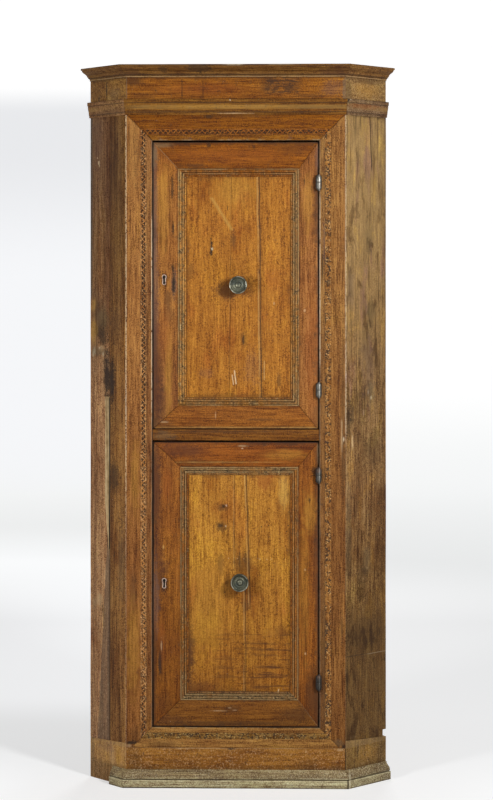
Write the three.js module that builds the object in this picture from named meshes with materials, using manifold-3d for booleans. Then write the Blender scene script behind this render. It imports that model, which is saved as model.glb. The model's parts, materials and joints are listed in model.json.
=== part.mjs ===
import * as THREE from "three";
import { mergeVertices } from "three/addons/utils/BufferGeometryUtils.js";
import Module from "manifold-3d";

// A tall corner cupboard with canted corners and two framed doors, one above the other.
// Millimetres, +Z up. While it is built, its flat front lies in the plane y = 0, and the
// corner of the room that it stands in is towards +Y. At the end the group is moved so that
// its origin is the middle of the cupboard's box, on the floor.

const wasm = await Module();
wasm.setup();

// Clearances
const fitGap = 0.3; // between two pieces that touch
const runGap = 0.4; // between two pieces that turn or slide on each other
const overrun = 4; // how far a cutting shape passes the face that it cuts

// The body in plan
const frontWidth = 610; // the flat front, from one canted corner to the other
const cantRun = 113; // how far each canted side runs out, and as far back
const frontThickness = 25; // frame, doors, canted sides, frieze and plinth
const wallThickness = 15; // the planks against the walls of the room
const leftPlankWidth = 73; // the front plank of the left canted side
const arrisDepth = 0.8; // how deep the two front corner edges are worn flat

// Boards that lie flat
const boardThickness = 20;
const housingDepth = 5; // how far a board is let into the wall planks
const upperShelfRise = 345; // from the divider up to the upper shelf
const lowerShelfRise = 350; // from the bottom board up to the lower shelf

// Heights, from the floor up
const plinthHeight = 108;
const sidePlinthHeight = 121; // at the front corners
const sidePlinthFall = 16; // how much lower the joint above it is at the walls
const bottomRailHeight = 57.9;
const doorFootGap = 1.5;
const doorHeadGap = 4.2;
const middleRailHeight = 30.2;
const corniceHeight = 43.5;
const friezeHeight = 60.6; // what shows between the two mouldings
const crownHeight = 33.4;

// The architrave round the doors, from the opening outwards
const filletWidth = 16.6;
const bandWidth = 16.7; // the bead that carries the carving, with its two quirks
const outerStripWidth = 40.5;
const quirkWidth = 1.4;
const quirkDepth = 1.6;
const beadRise = 2;
const doorSideGap = 2.5;

// The crown: how far each member stands out of the frieze, and how high it is
const crownFoot = { out: 3, height: 2.5 };
const crownFillet = { out: 9, height: 3.5 };
const crownCoveHeight = 4;
const crownWave = { foot: 12, out: 31 };
const crownTop = { out: 35, height: 5.5 };

// The moulding at the foot of the frieze
const corniceLap = 2.4; // how far it covers the top of the architrave
const corniceFoot = { out: 5, height: 7 };
const corniceWave = { foot: 6.5, out: 10 };
const corniceTop = { out: 12, height: 10 };

// The moulding at the floor
const baseBand = { out: 19, height: 23 };
const baseGroove = { out: 13.5, height: 1.6 };
const baseWave = { foot: 16, out: 3, height: 21 };
const baseLipHeight = 2.6;
const brokenReturnLength = 58; // what is left of the moulding on the left canted side
const brokenReturnSlant = 6;

// Wear that shows from a step away
const splitWidth = 19; // the long split at the seam of the left canted side
const splitDepth = 3;
const splitTop = 1076;
const splitLength = 290;
const splitTaper = 168;
const chipDepth = 13; // the chip in the rear edge of the right canted side
const chipHeight = 29;

// The doors
const upperDoor = {
  name: "upper_door",
  height: 795,
  lockStile: 68,
  hingeStile: 53,
  topRail: 73,
  bottomRail: 64,
  hingeFromTop: 113,
  hingeFromBottom: 108,
  keyholeRise: 413,
  knobAside: 0.5,
};
const lowerDoor = {
  name: "lower_door",
  height: 788.6,
  lockStile: 74.7,
  hingeStile: 54.7,
  topRail: 68.6,
  bottomRail: 72.8,
  hingeFromTop: 92,
  hingeFromBottom: 124,
  keyholeRise: 396,
  knobAside: 2.5,
};
const panelThickness = 12;
const panelSetback = 8; // from the front of the door to the face of the panel
const panelTongue = 8; // how far the panel reaches into the frame
const grooveDepth = 10;

// The moulding round each panel, from the frame inwards; rises are from the panel's face
const trimLip = { width: 3.6, rise: 8.6 };
const trimBead = { width: 8.4, foot: 6.6, rise: 10.4 };
const trimCoveWidth = 6.2;
const trimToe = { width: 5.2, rise: 3 };

// The knobs; each door says how far to the right of its panel's middle its own one is
const knobRise = 6; // above the middle of the panel
const knobStand = 42; // from the panel to the front of the knob
const knobRadius = 25;
const knobRimWidth = 2.4;
const knobRimHeight = 9;
const knobDishDepth = 6.5;
const knobRingRadius = 15.5;
const knobRingWidth = 2.2;
const knobRingRise = 1.6;
const knobBossRadius = 7;
const knobBossRise = 3.4;
const knobDimpleRadius = 2.6;
const knobDimpleDepth = 1.6;
const knobNeckRadius = 7;
const knobRoseRadius = 13;
const knobRoseHeight = 4;
const spindleRadius = 3.5;
const nutRadius = 8;
const nutHeight = 4.5;

// The hinges: two olive-shaped halves that lift apart, with a pin fixed in the lower one
const barrelRadius = 8.5;
const barrelHalfHeight = 23;
const barrelDomeHeight = 9;
const hingePinRadius = 3.2;
const hingePinLength = 17;
const leafThickness = 1.9;
const leafOffset = 0.6; // from the hinge's axis to the near face of each leaf
const leafHeight = 16;
const leafLetIn = 18; // how far back the leaf reaches behind the front

// The locks
const keyholeInset = 30; // from the door's edge to the middle of the keyhole
const keyholeHalfHeight = 8.4; // from its middle to the centres of its two round ends
const keyholeTopRadius = 4.4;
const keyholeFootRadius = 3.4;
const keyholeHalfSlot = 2.5;
const linerWall = 2.2;
const linerProud = 0.4;
const lockRecessDepth = 14;
const lockCaseWidth = 54;
const lockCaseBelow = 18; // from the middle of the keyhole down
const lockCaseAbove = 40; // and up
const lockPlate = 2;
const keySweepRadius = 20.8;
const keySweepDepth = 9;
const boltLength = 48;
const boltHeight = 14;
const boltThickness = 7.5;
const boltRise = 20; // from the middle of the keyhole to the bolt's lower edge
const boltSetback = 0.5; // from the door's edge to the tip of the drawn bolt
const boltThrow = 10;
const boltTailRoom = 1;
const talonWidth = 9;
const talonDepth = 8;
const mortiseDepth = 12;

// Facets
const roundSides = 24;
const domeSteps = 5;
const waveSteps = 8;
const beadSteps = 8;
const slotSteps = 8;

// What follows from the sizes
const diagonal = Math.SQRT1_2;
const cornerMitre = Math.tan(Math.PI / 8);
const cornerSetback = fitGap / 2 / Math.cos(Math.PI / 8);
const mitreSetback = fitGap * diagonal;
const frontHalf = frontWidth / 2;
const cantWidth = cantRun / diagonal;
const roomCorner = frontHalf + 2 * cantRun;
const wallWidth = (frontHalf + cantRun) / diagonal;
const architraveWidth = filletWidth + bandWidth + outerStripWidth;
const openingHalf = frontHalf - architraveWidth;
const doorLeft = -openingHalf + doorSideGap;
const doorRight = openingHalf - doorSideGap;
const lowerOpening = {
  bottom: plinthHeight + bottomRailHeight,
  top: plinthHeight + bottomRailHeight + doorFootGap + lowerDoor.height + doorHeadGap,
};
const upperOpening = {
  bottom: lowerOpening.top + middleRailHeight,
  top: lowerOpening.top + middleRailHeight + doorFootGap + upperDoor.height + doorHeadGap,
};
const architraveTop = upperOpening.top + architraveWidth;
const corniceBottom = architraveTop - corniceLap;
const crownBottom = corniceBottom + corniceHeight + friezeHeight;
const bodyTop = crownBottom + crownHeight;
const topBoardBottom = bodyTop - boardThickness;
const hingeAxis = { x: openingHalf - doorSideGap / 2, y: -barrelRadius - runGap };

// The faces of the body. Along a face, places run from right to left as seen from outside.
// A mitred end grows longer the further out of the face it is.
const frontFace = {
  at: [0, 0], normal: [0, -1], start: -frontHalf, end: frontHalf,
  startMitre: cornerMitre, endMitre: cornerMitre,
};
const leftCant = {
  at: [-frontHalf, 0], normal: [-diagonal, -diagonal], start: 0, end: cantWidth,
  startMitre: cornerMitre, endMitre: 0,
};
const rightCant = {
  at: [frontHalf, 0], normal: [diagonal, -diagonal], start: -cantWidth, end: 0,
  startMitre: 0, endMitre: cornerMitre,
};
const leftWall = {
  at: [0, roomCorner], normal: [-diagonal, diagonal], start: -wallWidth, end: 0,
  startMitre: 0, endMitre: 0,
};
const rightWall = {
  at: [0, roomCorner], normal: [diagonal, diagonal], start: 0, end: wallWidth,
  startMitre: 0, endMitre: 0,
};

// Finishes: colour, roughness and metalness
const frameWood = { color: 0x8a4f22, roughness: 0.5, metalness: 0 };
const panelWood = { color: 0xa5682c, roughness: 0.48, metalness: 0 };
const sideWood = { color: 0x6a4a2a, roughness: 0.6, metalness: 0 };
const trimWood = { color: 0x75582f, roughness: 0.6, metalness: 0 };
const corniceWood = { color: 0x6f4a24, roughness: 0.55, metalness: 0 };
const baseWood = { color: 0x93855c, roughness: 0.8, metalness: 0 };
const rawWood = { color: 0x9a7a52, roughness: 0.85, metalness: 0 };
const brass = { color: 0x7d7a63, roughness: 0.38, metalness: 0.9 };
const iron = { color: 0x55534c, roughness: 0.5, metalness: 0.85 };

const cupboard = new THREE.Group();

// Put a named piece into the cupboard
function addPiece(name, geometry, finish) {
  geometry.computeVertexNormals();
  const mesh = new THREE.Mesh(geometry, new THREE.MeshStandardMaterial(finish));
  mesh.name = name;
  cupboard.add(mesh);
}

// A closed outline from points, each [across, up]
function outline(points) {
  return new THREE.Shape(points.map(([across, up]) => new THREE.Vector2(across, up)));
}

// A block between two corners, each [x, y, z]
function block(low, high) {
  const size = high.map((value, axis) => value - low[axis]);
  const geometry = new THREE.BoxGeometry(...size);
  return geometry.translate(...low.map((value, axis) => value + size[axis] / 2));
}

// A bar with one section all along. startOf and endOf say where it is cut off for each
// point of the section, so a mitre is only a sloping line.
function bar(section, startOf, endOf) {
  const geometry = new THREE.ExtrudeGeometry(section, { depth: 1, bevelEnabled: false });
  const points = geometry.attributes.position;
  for (let i = 0; i < points.count; i += 1) {
    const cutAt = points.getZ(i) > 0 ? endOf : startOf;
    points.setZ(i, cutAt(points.getX(i), points.getY(i)));
  }
  return geometry;
}

// A plan outline run straight up from one height to another
function upright(plan, bottom, top) {
  const geometry = new THREE.ExtrudeGeometry(plan, { depth: top - bottom, bevelEnabled: false });
  return geometry.translate(0, 0, bottom);
}

// An outline drawn as [x, z], run forward from one depth to another
function forward(shape, backY, frontY) {
  const depth = backY - frontY;
  const settings = { depth, bevelEnabled: false, curveSegments: slotSteps };
  const geometry = new THREE.ExtrudeGeometry(shape, settings);
  const turn = new THREE.Matrix4().makeBasis(
    new THREE.Vector3(1, 0, 0), new THREE.Vector3(0, 0, 1), new THREE.Vector3(0, -1, 0));
  return geometry.applyMatrix4(turn).translate(0, backY, 0);
}

// A bar whose section is drawn as [z, y], laid along X with its start on the right
function layAcross(geometry) {
  const turn = new THREE.Matrix4().makeBasis(
    new THREE.Vector3(0, 0, 1), new THREE.Vector3(0, 1, 0), new THREE.Vector3(-1, 0, 0));
  return geometry.applyMatrix4(turn);
}

// Bring a bar whose section is drawn as [out of the face, up] to its face
function ontoFace(geometry, face) {
  const [normalX, normalY] = face.normal;
  const turn = new THREE.Matrix4().makeBasis(
    new THREE.Vector3(normalX, normalY, 0),
    new THREE.Vector3(0, 0, 1),
    new THREE.Vector3(normalY, -normalX, 0));
  return geometry.applyMatrix4(turn).translate(...face.at, 0);
}

// A length of board or moulding on a face, mitred where the face is, or cut off square at a
// given start or end
function lengthOn(face, section, { start = null, end = null } = {}) {
  const startGap = face.startMitre ? cornerSetback : 0;
  const endGap = face.endMitre ? cornerSetback : 0;
  const startOf = (out) => start ?? face.start - out * face.startMitre + startGap;
  const endOf = (out) => end ?? face.end + out * face.endMitre - endGap;
  return ontoFace(bar(section, startOf, endOf), face);
}

// The section of a plain board that is flush with its face
function boardSection(bottom, top, thickness) {
  return outline([[-thickness, bottom], [0, bottom], [0, top], [-thickness, top]]);
}

// A closed geometry as a solid that can be cut
function solidOf(geometry) {
  const bare = geometry.clone();
  bare.deleteAttribute("normal");
  bare.deleteAttribute("uv");
  const merged = mergeVertices(bare);
  return new wasm.Manifold(new wasm.Mesh({
    numProp: 3,
    vertProperties: merged.attributes.position.array,
    triVerts: new Uint32Array(merged.index.array),
  }));
}

// A solid as a geometry again
function geometryOf(solid) {
  const mesh = solid.getMesh();
  const geometry = new THREE.BufferGeometry();
  geometry.setAttribute("position", new THREE.BufferAttribute(mesh.vertProperties, 3));
  geometry.setIndex(new THREE.BufferAttribute(mesh.triVerts, 1));
  return geometry.toNonIndexed();
}

// Cut every tool away from a piece
function cut(geometry, ...tools) {
  return geometryOf(tools.reduce((rest, tool) => rest.subtract(solidOf(tool)), solidOf(geometry)));
}

// Join pieces that run into each other
function join(first, ...others) {
  return geometryOf(others.reduce((all, other) => all.add(solidOf(other)), solidOf(first)));
}

// Keep only what lies inside the other shape
function keepInside(geometry, shape) {
  return geometryOf(solidOf(geometry).intersect(solidOf(shape)));
}

// The tool that wears a front corner edge flat: a long block square to the corner's middle line
function arrisTool(side) {
  const reach = frontThickness;
  const tool = block([-reach, -reach - overrun, -overrun], [reach, -overrun, bodyTop + overrun]);
  tool.translate(0, overrun + arrisDepth, 0);
  tool.rotateZ(side * Math.PI / 8);
  return tool.translate(side * frontHalf, 0, 0);
}

// Wear the front corner edges of a piece flat
function wearArris(geometry) {
  return cut(geometry, arrisTool(-1), arrisTool(1));
}

// The plan of a board that lies flat: its front edge, and how far it stays inside the outer
// planes of the canted sides and of the walls
function boardPlan(frontY, cantInset, wallInset) {
  const cantLine = frontHalf - cantInset / diagonal;
  const wallLine = roomCorner - wallInset / diagonal;
  const sideX = (cantLine + wallLine) / 2;
  const sideY = sideX - cantLine;
  return outline([
    [-cantLine - frontY, frontY],
    [cantLine + frontY, frontY],
    [sideX, sideY],
    [0, wallLine],
    [-sideX, sideY],
  ]);
}

// The boards that are let into the wall planks, by the height of their lower faces
const housedBoards = {
  bottom_board: lowerOpening.bottom - boardThickness,
  lower_shelf: lowerOpening.bottom + lowerShelfRise,
  middle_board: upperOpening.bottom - boardThickness,
  upper_shelf: upperOpening.bottom + upperShelfRise,
};

function addFlatBoards() {
  const reach = wallThickness - housingDepth + fitGap;
  const plan = boardPlan(frontThickness + fitGap, frontThickness + fitGap, reach);
  for (const [name, bottom] of Object.entries(housedBoards)) {
    addPiece(name, upright(plan, bottom, bottom + boardThickness), rawWood);
  }
  addPiece("top_board", upright(boardPlan(0, 0, 0), topBoardBottom, bodyTop), rawWood);
}

// The grooves that the flat boards leave in the wall planks
function housings() {
  const plan = boardPlan(frontThickness, frontThickness, wallThickness - housingDepth);
  return Object.values(housedBoards).map((bottom) =>
    upright(plan, bottom - fitGap, bottom + boardThickness + fitGap));
}

// Two planks stand side by side against each wall. The left ones close the corner of the room.
function addWallPlanks() {
  const section = boardSection(0, topBoardBottom - fitGap, wallThickness);
  const cantEnd = wallWidth - frontThickness - fitGap;
  const cornerEnd = wallThickness + fitGap;
  const leftSeam = -cantEnd / 2;
  const rightSeam = (cantEnd + cornerEnd) / 2;
  const halfGap = fitGap / 2;
  const planks = [
    ["left_back_plank_front", leftWall, -cantEnd, leftSeam - halfGap],
    ["left_back_plank_rear", leftWall, leftSeam + halfGap, 0],
    ["right_back_plank_rear", rightWall, cornerEnd, rightSeam - halfGap],
    ["right_back_plank_front", rightWall, rightSeam + halfGap, cantEnd],
  ];
  const grooves = housings();
  for (const [name, wall, start, end] of planks) {
    addPiece(name, cut(lengthOn(wall, section, { start, end }), ...grooves), rawWood);
  }
}

// The long split beside the seam of the left canted side: straight, then running out
function splitTool() {
  const low = splitTop - splitLength;
  const shape = outline([
    [-splitDepth, splitTop], [overrun, splitTop], [overrun, low - splitTaper],
    [-splitDepth, low - splitTaper],
  ]);
  const depthOf = (out, up) => leftPlankWidth + (up < low ? 0 : splitWidth);
  return ontoFace(bar(shape, () => leftPlankWidth - overrun, depthOf), leftCant);
}

// The chip in the rear edge of the right canted side, just above the plinth
function chipTool() {
  const top = sidePlinthHeight - sidePlinthFall + chipHeight;
  const through = frontThickness + overrun;
  const shape = outline([
    [-through, 0], [overrun, 0], [overrun, top], [-through, top],
  ]);
  const start = rightCant.start - overrun;
  return ontoFace(bar(shape, () => start, () => rightCant.start + chipDepth), rightCant);
}

// The boards of a canted side stand on its plinth along a joint that falls towards the wall
function slopeJoint(geometry, level) {
  const points = geometry.attributes.position;
  for (let i = 0; i < points.count; i += 1) {
    const share = (Math.abs(points.getX(i)) - frontHalf) / cantRun;
    const isOnJoint = Math.abs(points.getZ(i) - level) < fitGap / 2;
    if (isOnJoint) points.setZ(i, level - sidePlinthFall * share);
  }
  return geometry;
}

function addCantedSides() {
  const foot = sidePlinthHeight + fitGap;
  const section = boardSection(foot, architraveTop, frontThickness);
  const boardOn = (face, ends) => slopeJoint(lengthOn(face, section, ends), foot);
  const frontPlank = boardOn(leftCant, { end: leftPlankWidth - fitGap / 2 });
  const rearPlank = boardOn(leftCant, { start: leftPlankWidth + fitGap / 2 });
  addPiece("left_cant_front_plank", wearArris(frontPlank), sideWood);
  addPiece("left_cant_rear_plank", cut(rearPlank, splitTool()), sideWood);
  addPiece("right_cant_board", cut(wearArris(boardOn(rightCant)), chipTool()), sideWood);
}

// Frieze and plinth boards run round the front and both canted sides
function addFriezeAndPlinth() {
  const frieze = boardSection(architraveTop + fitGap, topBoardBottom - fitGap, frontThickness);
  const plinth = boardSection(0, plinthHeight, frontThickness);
  const sidePlinth = boardSection(0, sidePlinthHeight, frontThickness);
  const sidePlinthOn = (face) => slopeJoint(lengthOn(face, sidePlinth), sidePlinthHeight);
  addPiece("frieze_front", wearArris(lengthOn(frontFace, frieze)), frameWood);
  addPiece("frieze_left", wearArris(lengthOn(leftCant, frieze)), corniceWood);
  addPiece("frieze_right", wearArris(lengthOn(rightCant, frieze)), corniceWood);
  addPiece("plinth_front", wearArris(lengthOn(frontFace, plinth)), frameWood);
  addPiece("plinth_left", wearArris(sidePlinthOn(leftCant)), sideWood);
  addPiece("plinth_right", wearArris(sidePlinthOn(rightCant)), sideWood);
}

// An S-shaped curve between two places, each [out, up], as points
function wave([out, up], [endOut, endUp]) {
  const curve = new THREE.CubicBezierCurve(
    new THREE.Vector2(out, up),
    new THREE.Vector2(out, (up + endUp) / 2),
    new THREE.Vector2(endOut, (up + endUp) / 2),
    new THREE.Vector2(endOut, endUp));
  return curve.getPoints(waveSteps).map((point) => [point.x, point.y]);
}

// A hollow quarter round between two places, each [out, up], as points
function cove([out, up], [endOut, endUp]) {
  const curve = new THREE.QuadraticBezierCurve(
    new THREE.Vector2(out, up), new THREE.Vector2(out, endUp), new THREE.Vector2(endOut, endUp));
  return curve.getPoints(waveSteps / 2).map((point) => [point.x, point.y]);
}

function crownSection() {
  const footTop = crownBottom + crownFoot.height;
  const coveTop = footTop + crownCoveHeight;
  const filletTop = coveTop + crownFillet.height;
  const topFoot = bodyTop - crownTop.height;
  return outline([
    [fitGap, crownBottom],
    [crownFoot.out, crownBottom],
    ...cove([crownFoot.out, footTop], [crownFillet.out, coveTop]),
    [crownFillet.out, filletTop],
    ...wave([crownWave.foot, filletTop], [crownWave.out, topFoot]),
    [crownTop.out, topFoot],
    [crownTop.out, bodyTop],
    [fitGap, bodyTop],
  ]);
}

function corniceSection() {
  const top = corniceBottom + corniceHeight;
  const footTop = corniceBottom + corniceFoot.height;
  const topFoot = top - corniceTop.height;
  return outline([
    [fitGap, corniceBottom],
    [corniceFoot.out, corniceBottom],
    [corniceFoot.out, footTop],
    ...wave([corniceWave.foot, footTop], [corniceWave.out, topFoot]),
    [corniceTop.out, topFoot],
    [corniceTop.out, top],
    [fitGap, top],
  ]);
}

function baseSection() {
  const grooveTop = baseBand.height + baseGroove.height;
  const waveFoot = grooveTop + baseLipHeight;
  const waveTop = waveFoot + baseWave.height;
  return outline([
    [fitGap, 0],
    [baseBand.out, 0],
    [baseBand.out, baseBand.height],
    [baseGroove.out, baseBand.height],
    [baseGroove.out, grooveTop],
    [baseWave.foot, grooveTop],
    ...wave([baseWave.foot, waveFoot], [baseWave.out, waveTop]),
    [fitGap, waveTop],
  ]);
}

// What is left of the base moulding on the left canted side ends in a slanting break
function brokenReturn() {
  const breakAt = (out) => brokenReturnLength - out / baseBand.out * brokenReturnSlant;
  const startAt = (out) => leftCant.start - out * leftCant.startMitre + cornerSetback;
  return ontoFace(bar(baseSection(), startAt, breakAt), leftCant);
}

function addMouldings() {
  const faces = [["front", frontFace], ["left", leftCant], ["right", rightCant]];
  for (const [where, face] of faces) {
    addPiece(`crown_${where}`, lengthOn(face, crownSection()), corniceWood);
    addPiece(`cornice_${where}`, lengthOn(face, corniceSection()), corniceWood);
  }
  addPiece("base_moulding_front", lengthOn(frontFace, baseSection()), baseWood);
  addPiece("base_moulding_right", lengthOn(rightCant, baseSection()), baseWood);
  addPiece("base_moulding_left", brokenReturn(), baseWood);
}

// The architrave's section, as [from the opening outwards, back from the front]: a flat
// fillet, a bead between two quirks, and a flat strip out to frontEdge, or backEdge behind
function architraveSection(frontEdge, backEdge) {
  const bandEnd = filletWidth + bandWidth;
  const middle = filletWidth + bandWidth / 2;
  const beadHalf = bandWidth / 2 - quirkWidth;
  const bead = [];
  for (let i = 0; i <= beadSteps; i += 1) {
    const angle = Math.PI * (1 - i / beadSteps);
    bead.push([middle + beadHalf * Math.cos(angle), -beadRise * Math.sin(angle)]);
  }
  return [
    [0, 0],
    [filletWidth, 0],
    [filletWidth + quirkWidth / 2, quirkDepth],
    ...bead,
    [bandEnd - quirkWidth / 2, quirkDepth],
    [bandEnd, 0],
    [frontEdge, 0],
    [backEdge, frontThickness],
    [0, frontThickness],
  ];
}

// A stile of the architrave. Its outer edge is mitred to the canted side and its two ends to
// the rails; where the bottom rail ends, it stands on the plinth.
function architraveStile(side) {
  const edge = architraveWidth - cornerSetback;
  const points = architraveSection(edge, edge - frontThickness * cornerMitre);
  const section = outline(points.map(([out, back]) => [side * (openingHalf + out), back]));
  const outOf = (x) => side * x - openingHalf;
  const stile = bar(
    section,
    (x) => lowerOpening.bottom - outOf(x) + mitreSetback,
    (x) => upperOpening.top + outOf(x) - mitreSetback);
  const below = block(
    [-frontHalf, -overrun, -overrun], [frontHalf, frontThickness + overrun, plinthHeight + fitGap]);
  return wearArris(cut(stile, below));
}

// A rail of the architrave, mitred to both stiles. up is 1 above the opening, -1 below it.
function architraveRail(edgeZ, up, height) {
  const points = architraveSection(height, height);
  const section = outline(points.map(([out, back]) => [edgeZ + up * out, back]));
  const endOf = (z) => openingHalf + up * (z - edgeZ) - mitreSetback;
  const rail = layAcross(bar(section, (z) => -endOf(z), endOf));
  const slab = lengthOn(frontFace, outline([
    [-frontThickness - overrun, 0],
    [overrun, 0],
    [overrun, bodyTop],
    [-frontThickness - overrun, bodyTop],
  ]));
  return wearArris(keepInside(rail, slab));
}

// Where a hinge's leaf is let into an edge. toRight is 1 for the frame and -1 for the door.
function leafSpan(toRight) {
  const near = hingeAxis.x + toRight * leafOffset;
  const far = hingeAxis.x + toRight * (leafOffset + leafThickness);
  return { low: Math.min(near, far), high: Math.max(near, far) };
}

// The recess for a leaf; the frame's leaf lies below the hinge's middle, the door's above it
function leafRecess(height, toRight) {
  const { low, high } = leafSpan(toRight);
  const start = runGap / 2 - fitGap;
  const end = runGap / 2 + leafHeight + fitGap;
  return block(
    [toRight > 0 ? low - overrun : low - fitGap, -overrun, toRight > 0 ? height - end : height + start],
    [toRight > 0 ? high + fitGap : high + overrun, leafLetIn + fitGap,
      toRight > 0 ? height - start : height + end]);
}

// The heights of both hinges of a door
function hingeHeights(door) {
  return [
    ["top", door.bottom + door.height - door.hingeFromTop],
    ["bottom", door.bottom + door.hingeFromBottom],
  ];
}

// The mortise in the left stile that a thrown bolt goes into
function boltMortise(door) {
  const { low, high } = boltBox(door);
  return block(
    [-openingHalf - mortiseDepth, low[1] - runGap, low[2] - runGap],
    [-openingHalf + overrun, high[1] + runGap, high[2] + runGap]);
}

function addFrontFrame() {
  const recesses = doors.flatMap(hingeHeights).map(([, height]) => leafRecess(height, 1));
  addPiece("left_stile", cut(architraveStile(-1), ...doors.map(boltMortise)), frameWood);
  addPiece("right_stile", cut(architraveStile(1), ...recesses), frameWood);
  addPiece("top_rail", architraveRail(upperOpening.top, 1, architraveWidth), frameWood);
  addPiece("bottom_rail",
    architraveRail(lowerOpening.bottom, -1, bottomRailHeight - fitGap), frameWood);
  const middleRail = block(
    [-openingHalf + fitGap, 0, lowerOpening.top],
    [openingHalf - fitGap, frontThickness, upperOpening.bottom]);
  addPiece("middle_rail", middleRail, frameWood);
}

// The section of a door's frame, as [from its outer edge inwards, back from the front], with
// the groove that holds the panel
function doorFrameSection(width) {
  const grooveFront = panelSetback - fitGap;
  const grooveBack = panelSetback + panelThickness + fitGap;
  return [
    [0, 0],
    [width, 0],
    [width, grooveFront],
    [width - grooveDepth, grooveFront],
    [width - grooveDepth, grooveBack],
    [width, grooveBack],
    [width, frontThickness],
    [0, frontThickness],
  ];
}

// An upright of a door's frame, mitred to both of its rails
function doorStile(door, edgeX, inwards, width) {
  const points = doorFrameSection(width);
  const section = outline(points.map(([across, back]) => [edgeX + inwards * across, back]));
  const acrossOf = (x) => inwards * (x - edgeX) / width;
  return bar(
    section,
    (x) => door.bottom + acrossOf(x) * door.bottomRail + mitreSetback,
    (x) => door.bottom + door.height - acrossOf(x) * door.topRail - mitreSetback);
}

// A rail of a door's frame, mitred to both of its uprights
function doorRail(door, edgeZ, inwards, height) {
  const points = doorFrameSection(height);
  const section = outline(points.map(([across, back]) => [edgeZ + inwards * across, back]));
  const acrossOf = (z) => inwards * (z - edgeZ) / height;
  return layAcross(bar(
    section,
    (z) => -(doorRight - acrossOf(z) * door.hingeStile - mitreSetback),
    (z) => -(doorLeft + acrossOf(z) * door.lockStile + mitreSetback)));
}

// The keyhole's outline, grown on all sides by the same amount
function keyholeShape(x, z, grow) {
  const top = keyholeTopRadius + grow;
  const foot = keyholeFootRadius + grow;
  const topTurn = Math.asin((keyholeHalfSlot + grow) / top);
  const footTurn = Math.asin((keyholeHalfSlot + grow) / foot);
  const quarter = Math.PI / 2;
  const shape = new THREE.Shape();
  shape.absarc(x, z + keyholeHalfHeight, top, topTurn - quarter, 3 * quarter - topTurn, false);
  shape.absarc(x, z - keyholeHalfHeight, foot, quarter + footTurn, 5 * quarter - footTurn, false);
  shape.closePath();
  return shape;
}

// Where the parts of a door's lock lie
function lockPlace(door) {
  return {
    x: doorLeft + keyholeInset,
    z: door.bottom + door.keyholeRise,
    caseFront: frontThickness - lockRecessDepth + fitGap,
  };
}

// The box of a drawn bolt
function boltBox(door) {
  const { z, caseFront } = lockPlace(door);
  const front = caseFront + lockPlate + runGap + fitGap;
  return {
    low: [doorLeft + boltSetback, front, z + boltRise],
    high: [doorLeft + boltSetback + boltLength, front + boltThickness, z + boltRise + boltHeight],
  };
}

// The case of the lock: a box with the bolt's channel, the room that the key turns in, and
// the keyhole through its front
function lockCase(door) {
  const { x, z, caseFront } = lockPlace(door);
  const { low, high } = boltBox(door);
  const body = block(
    [doorLeft, caseFront, z - lockCaseBelow],
    [doorLeft + lockCaseWidth, frontThickness, z + lockCaseAbove]);
  const channel = block(
    [doorLeft - overrun, low[1] - runGap, low[2] - runGap],
    [high[0] + boltTailRoom, high[1] + runGap, high[2] + runGap]);
  const sweepFront = caseFront + lockPlate;
  const sweep = new THREE.CylinderGeometry(keySweepRadius, keySweepRadius, keySweepDepth, roundSides);
  sweep.translate(x, sweepFront + keySweepDepth / 2, z + keyholeHalfHeight);
  const hole = forward(keyholeShape(x, z, 0), sweepFront + lockPlate, caseFront - overrun);
  return cut(body, channel, sweep, hole);
}

// The bolt, with the notch that the key's bit pushes
function lockBolt(door) {
  const { x } = lockPlace(door);
  const { low, high } = boltBox(door);
  const notchStart = x + (boltThrow - talonWidth) / 2;
  return forward(outline([
    [low[0], low[2]],
    [notchStart, low[2]],
    [notchStart, low[2] + talonDepth],
    [notchStart + talonWidth, low[2] + talonDepth],
    [notchStart + talonWidth, low[2]],
    [high[0], low[2]],
    [high[0], high[2]],
    [low[0], high[2]],
  ]), high[1], low[1]);
}

// The brass lining of the keyhole
function keyholeLiner(door) {
  const { x, z, caseFront } = lockPlace(door);
  const shape = keyholeShape(x, z, linerWall);
  shape.holes.push(keyholeShape(x, z, 0));
  return forward(shape, caseFront - fitGap, -linerProud);
}

// The lock stile with the recess for the case and the hole for the keyhole's lining
function lockStile(door) {
  const { x, z, caseFront } = lockPlace(door);
  const recess = block(
    [doorLeft - overrun, caseFront - fitGap, z - lockCaseBelow - fitGap],
    [doorLeft + lockCaseWidth + fitGap, frontThickness + overrun, z + lockCaseAbove + fitGap]);
  const hole = forward(keyholeShape(x, z, linerWall + fitGap), caseFront + overrun, -overrun);
  return cut(doorStile(door, doorLeft, 1, door.lockStile), recess, hole);
}

// The opening in a door's frame, in which the panel shows
function panelOpening(door) {
  return {
    left: doorLeft + door.lockStile,
    right: doorRight - door.hingeStile,
    bottom: door.bottom + door.bottomRail,
    top: door.bottom + door.height - door.topRail,
  };
}

// Where a door's knob stands
function knobPlace(door) {
  const { left, right, bottom, top } = panelOpening(door);
  return { x: (left + right) / 2 + door.knobAside, z: (bottom + top) / 2 + knobRise };
}

function doorPanel(door) {
  const { left, right, bottom, top } = panelOpening(door);
  const { x, z } = knobPlace(door);
  const panelBack = panelSetback + panelThickness;
  const board = block(
    [left - panelTongue, panelSetback, bottom - panelTongue],
    [right + panelTongue, panelBack, top + panelTongue]);
  const radius = spindleRadius + fitGap;
  const hole = new THREE.CylinderGeometry(radius, radius, panelThickness + 2 * overrun, roundSides);
  hole.translate(x, panelSetback + panelThickness / 2, z);
  return cut(board, hole);
}

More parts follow.
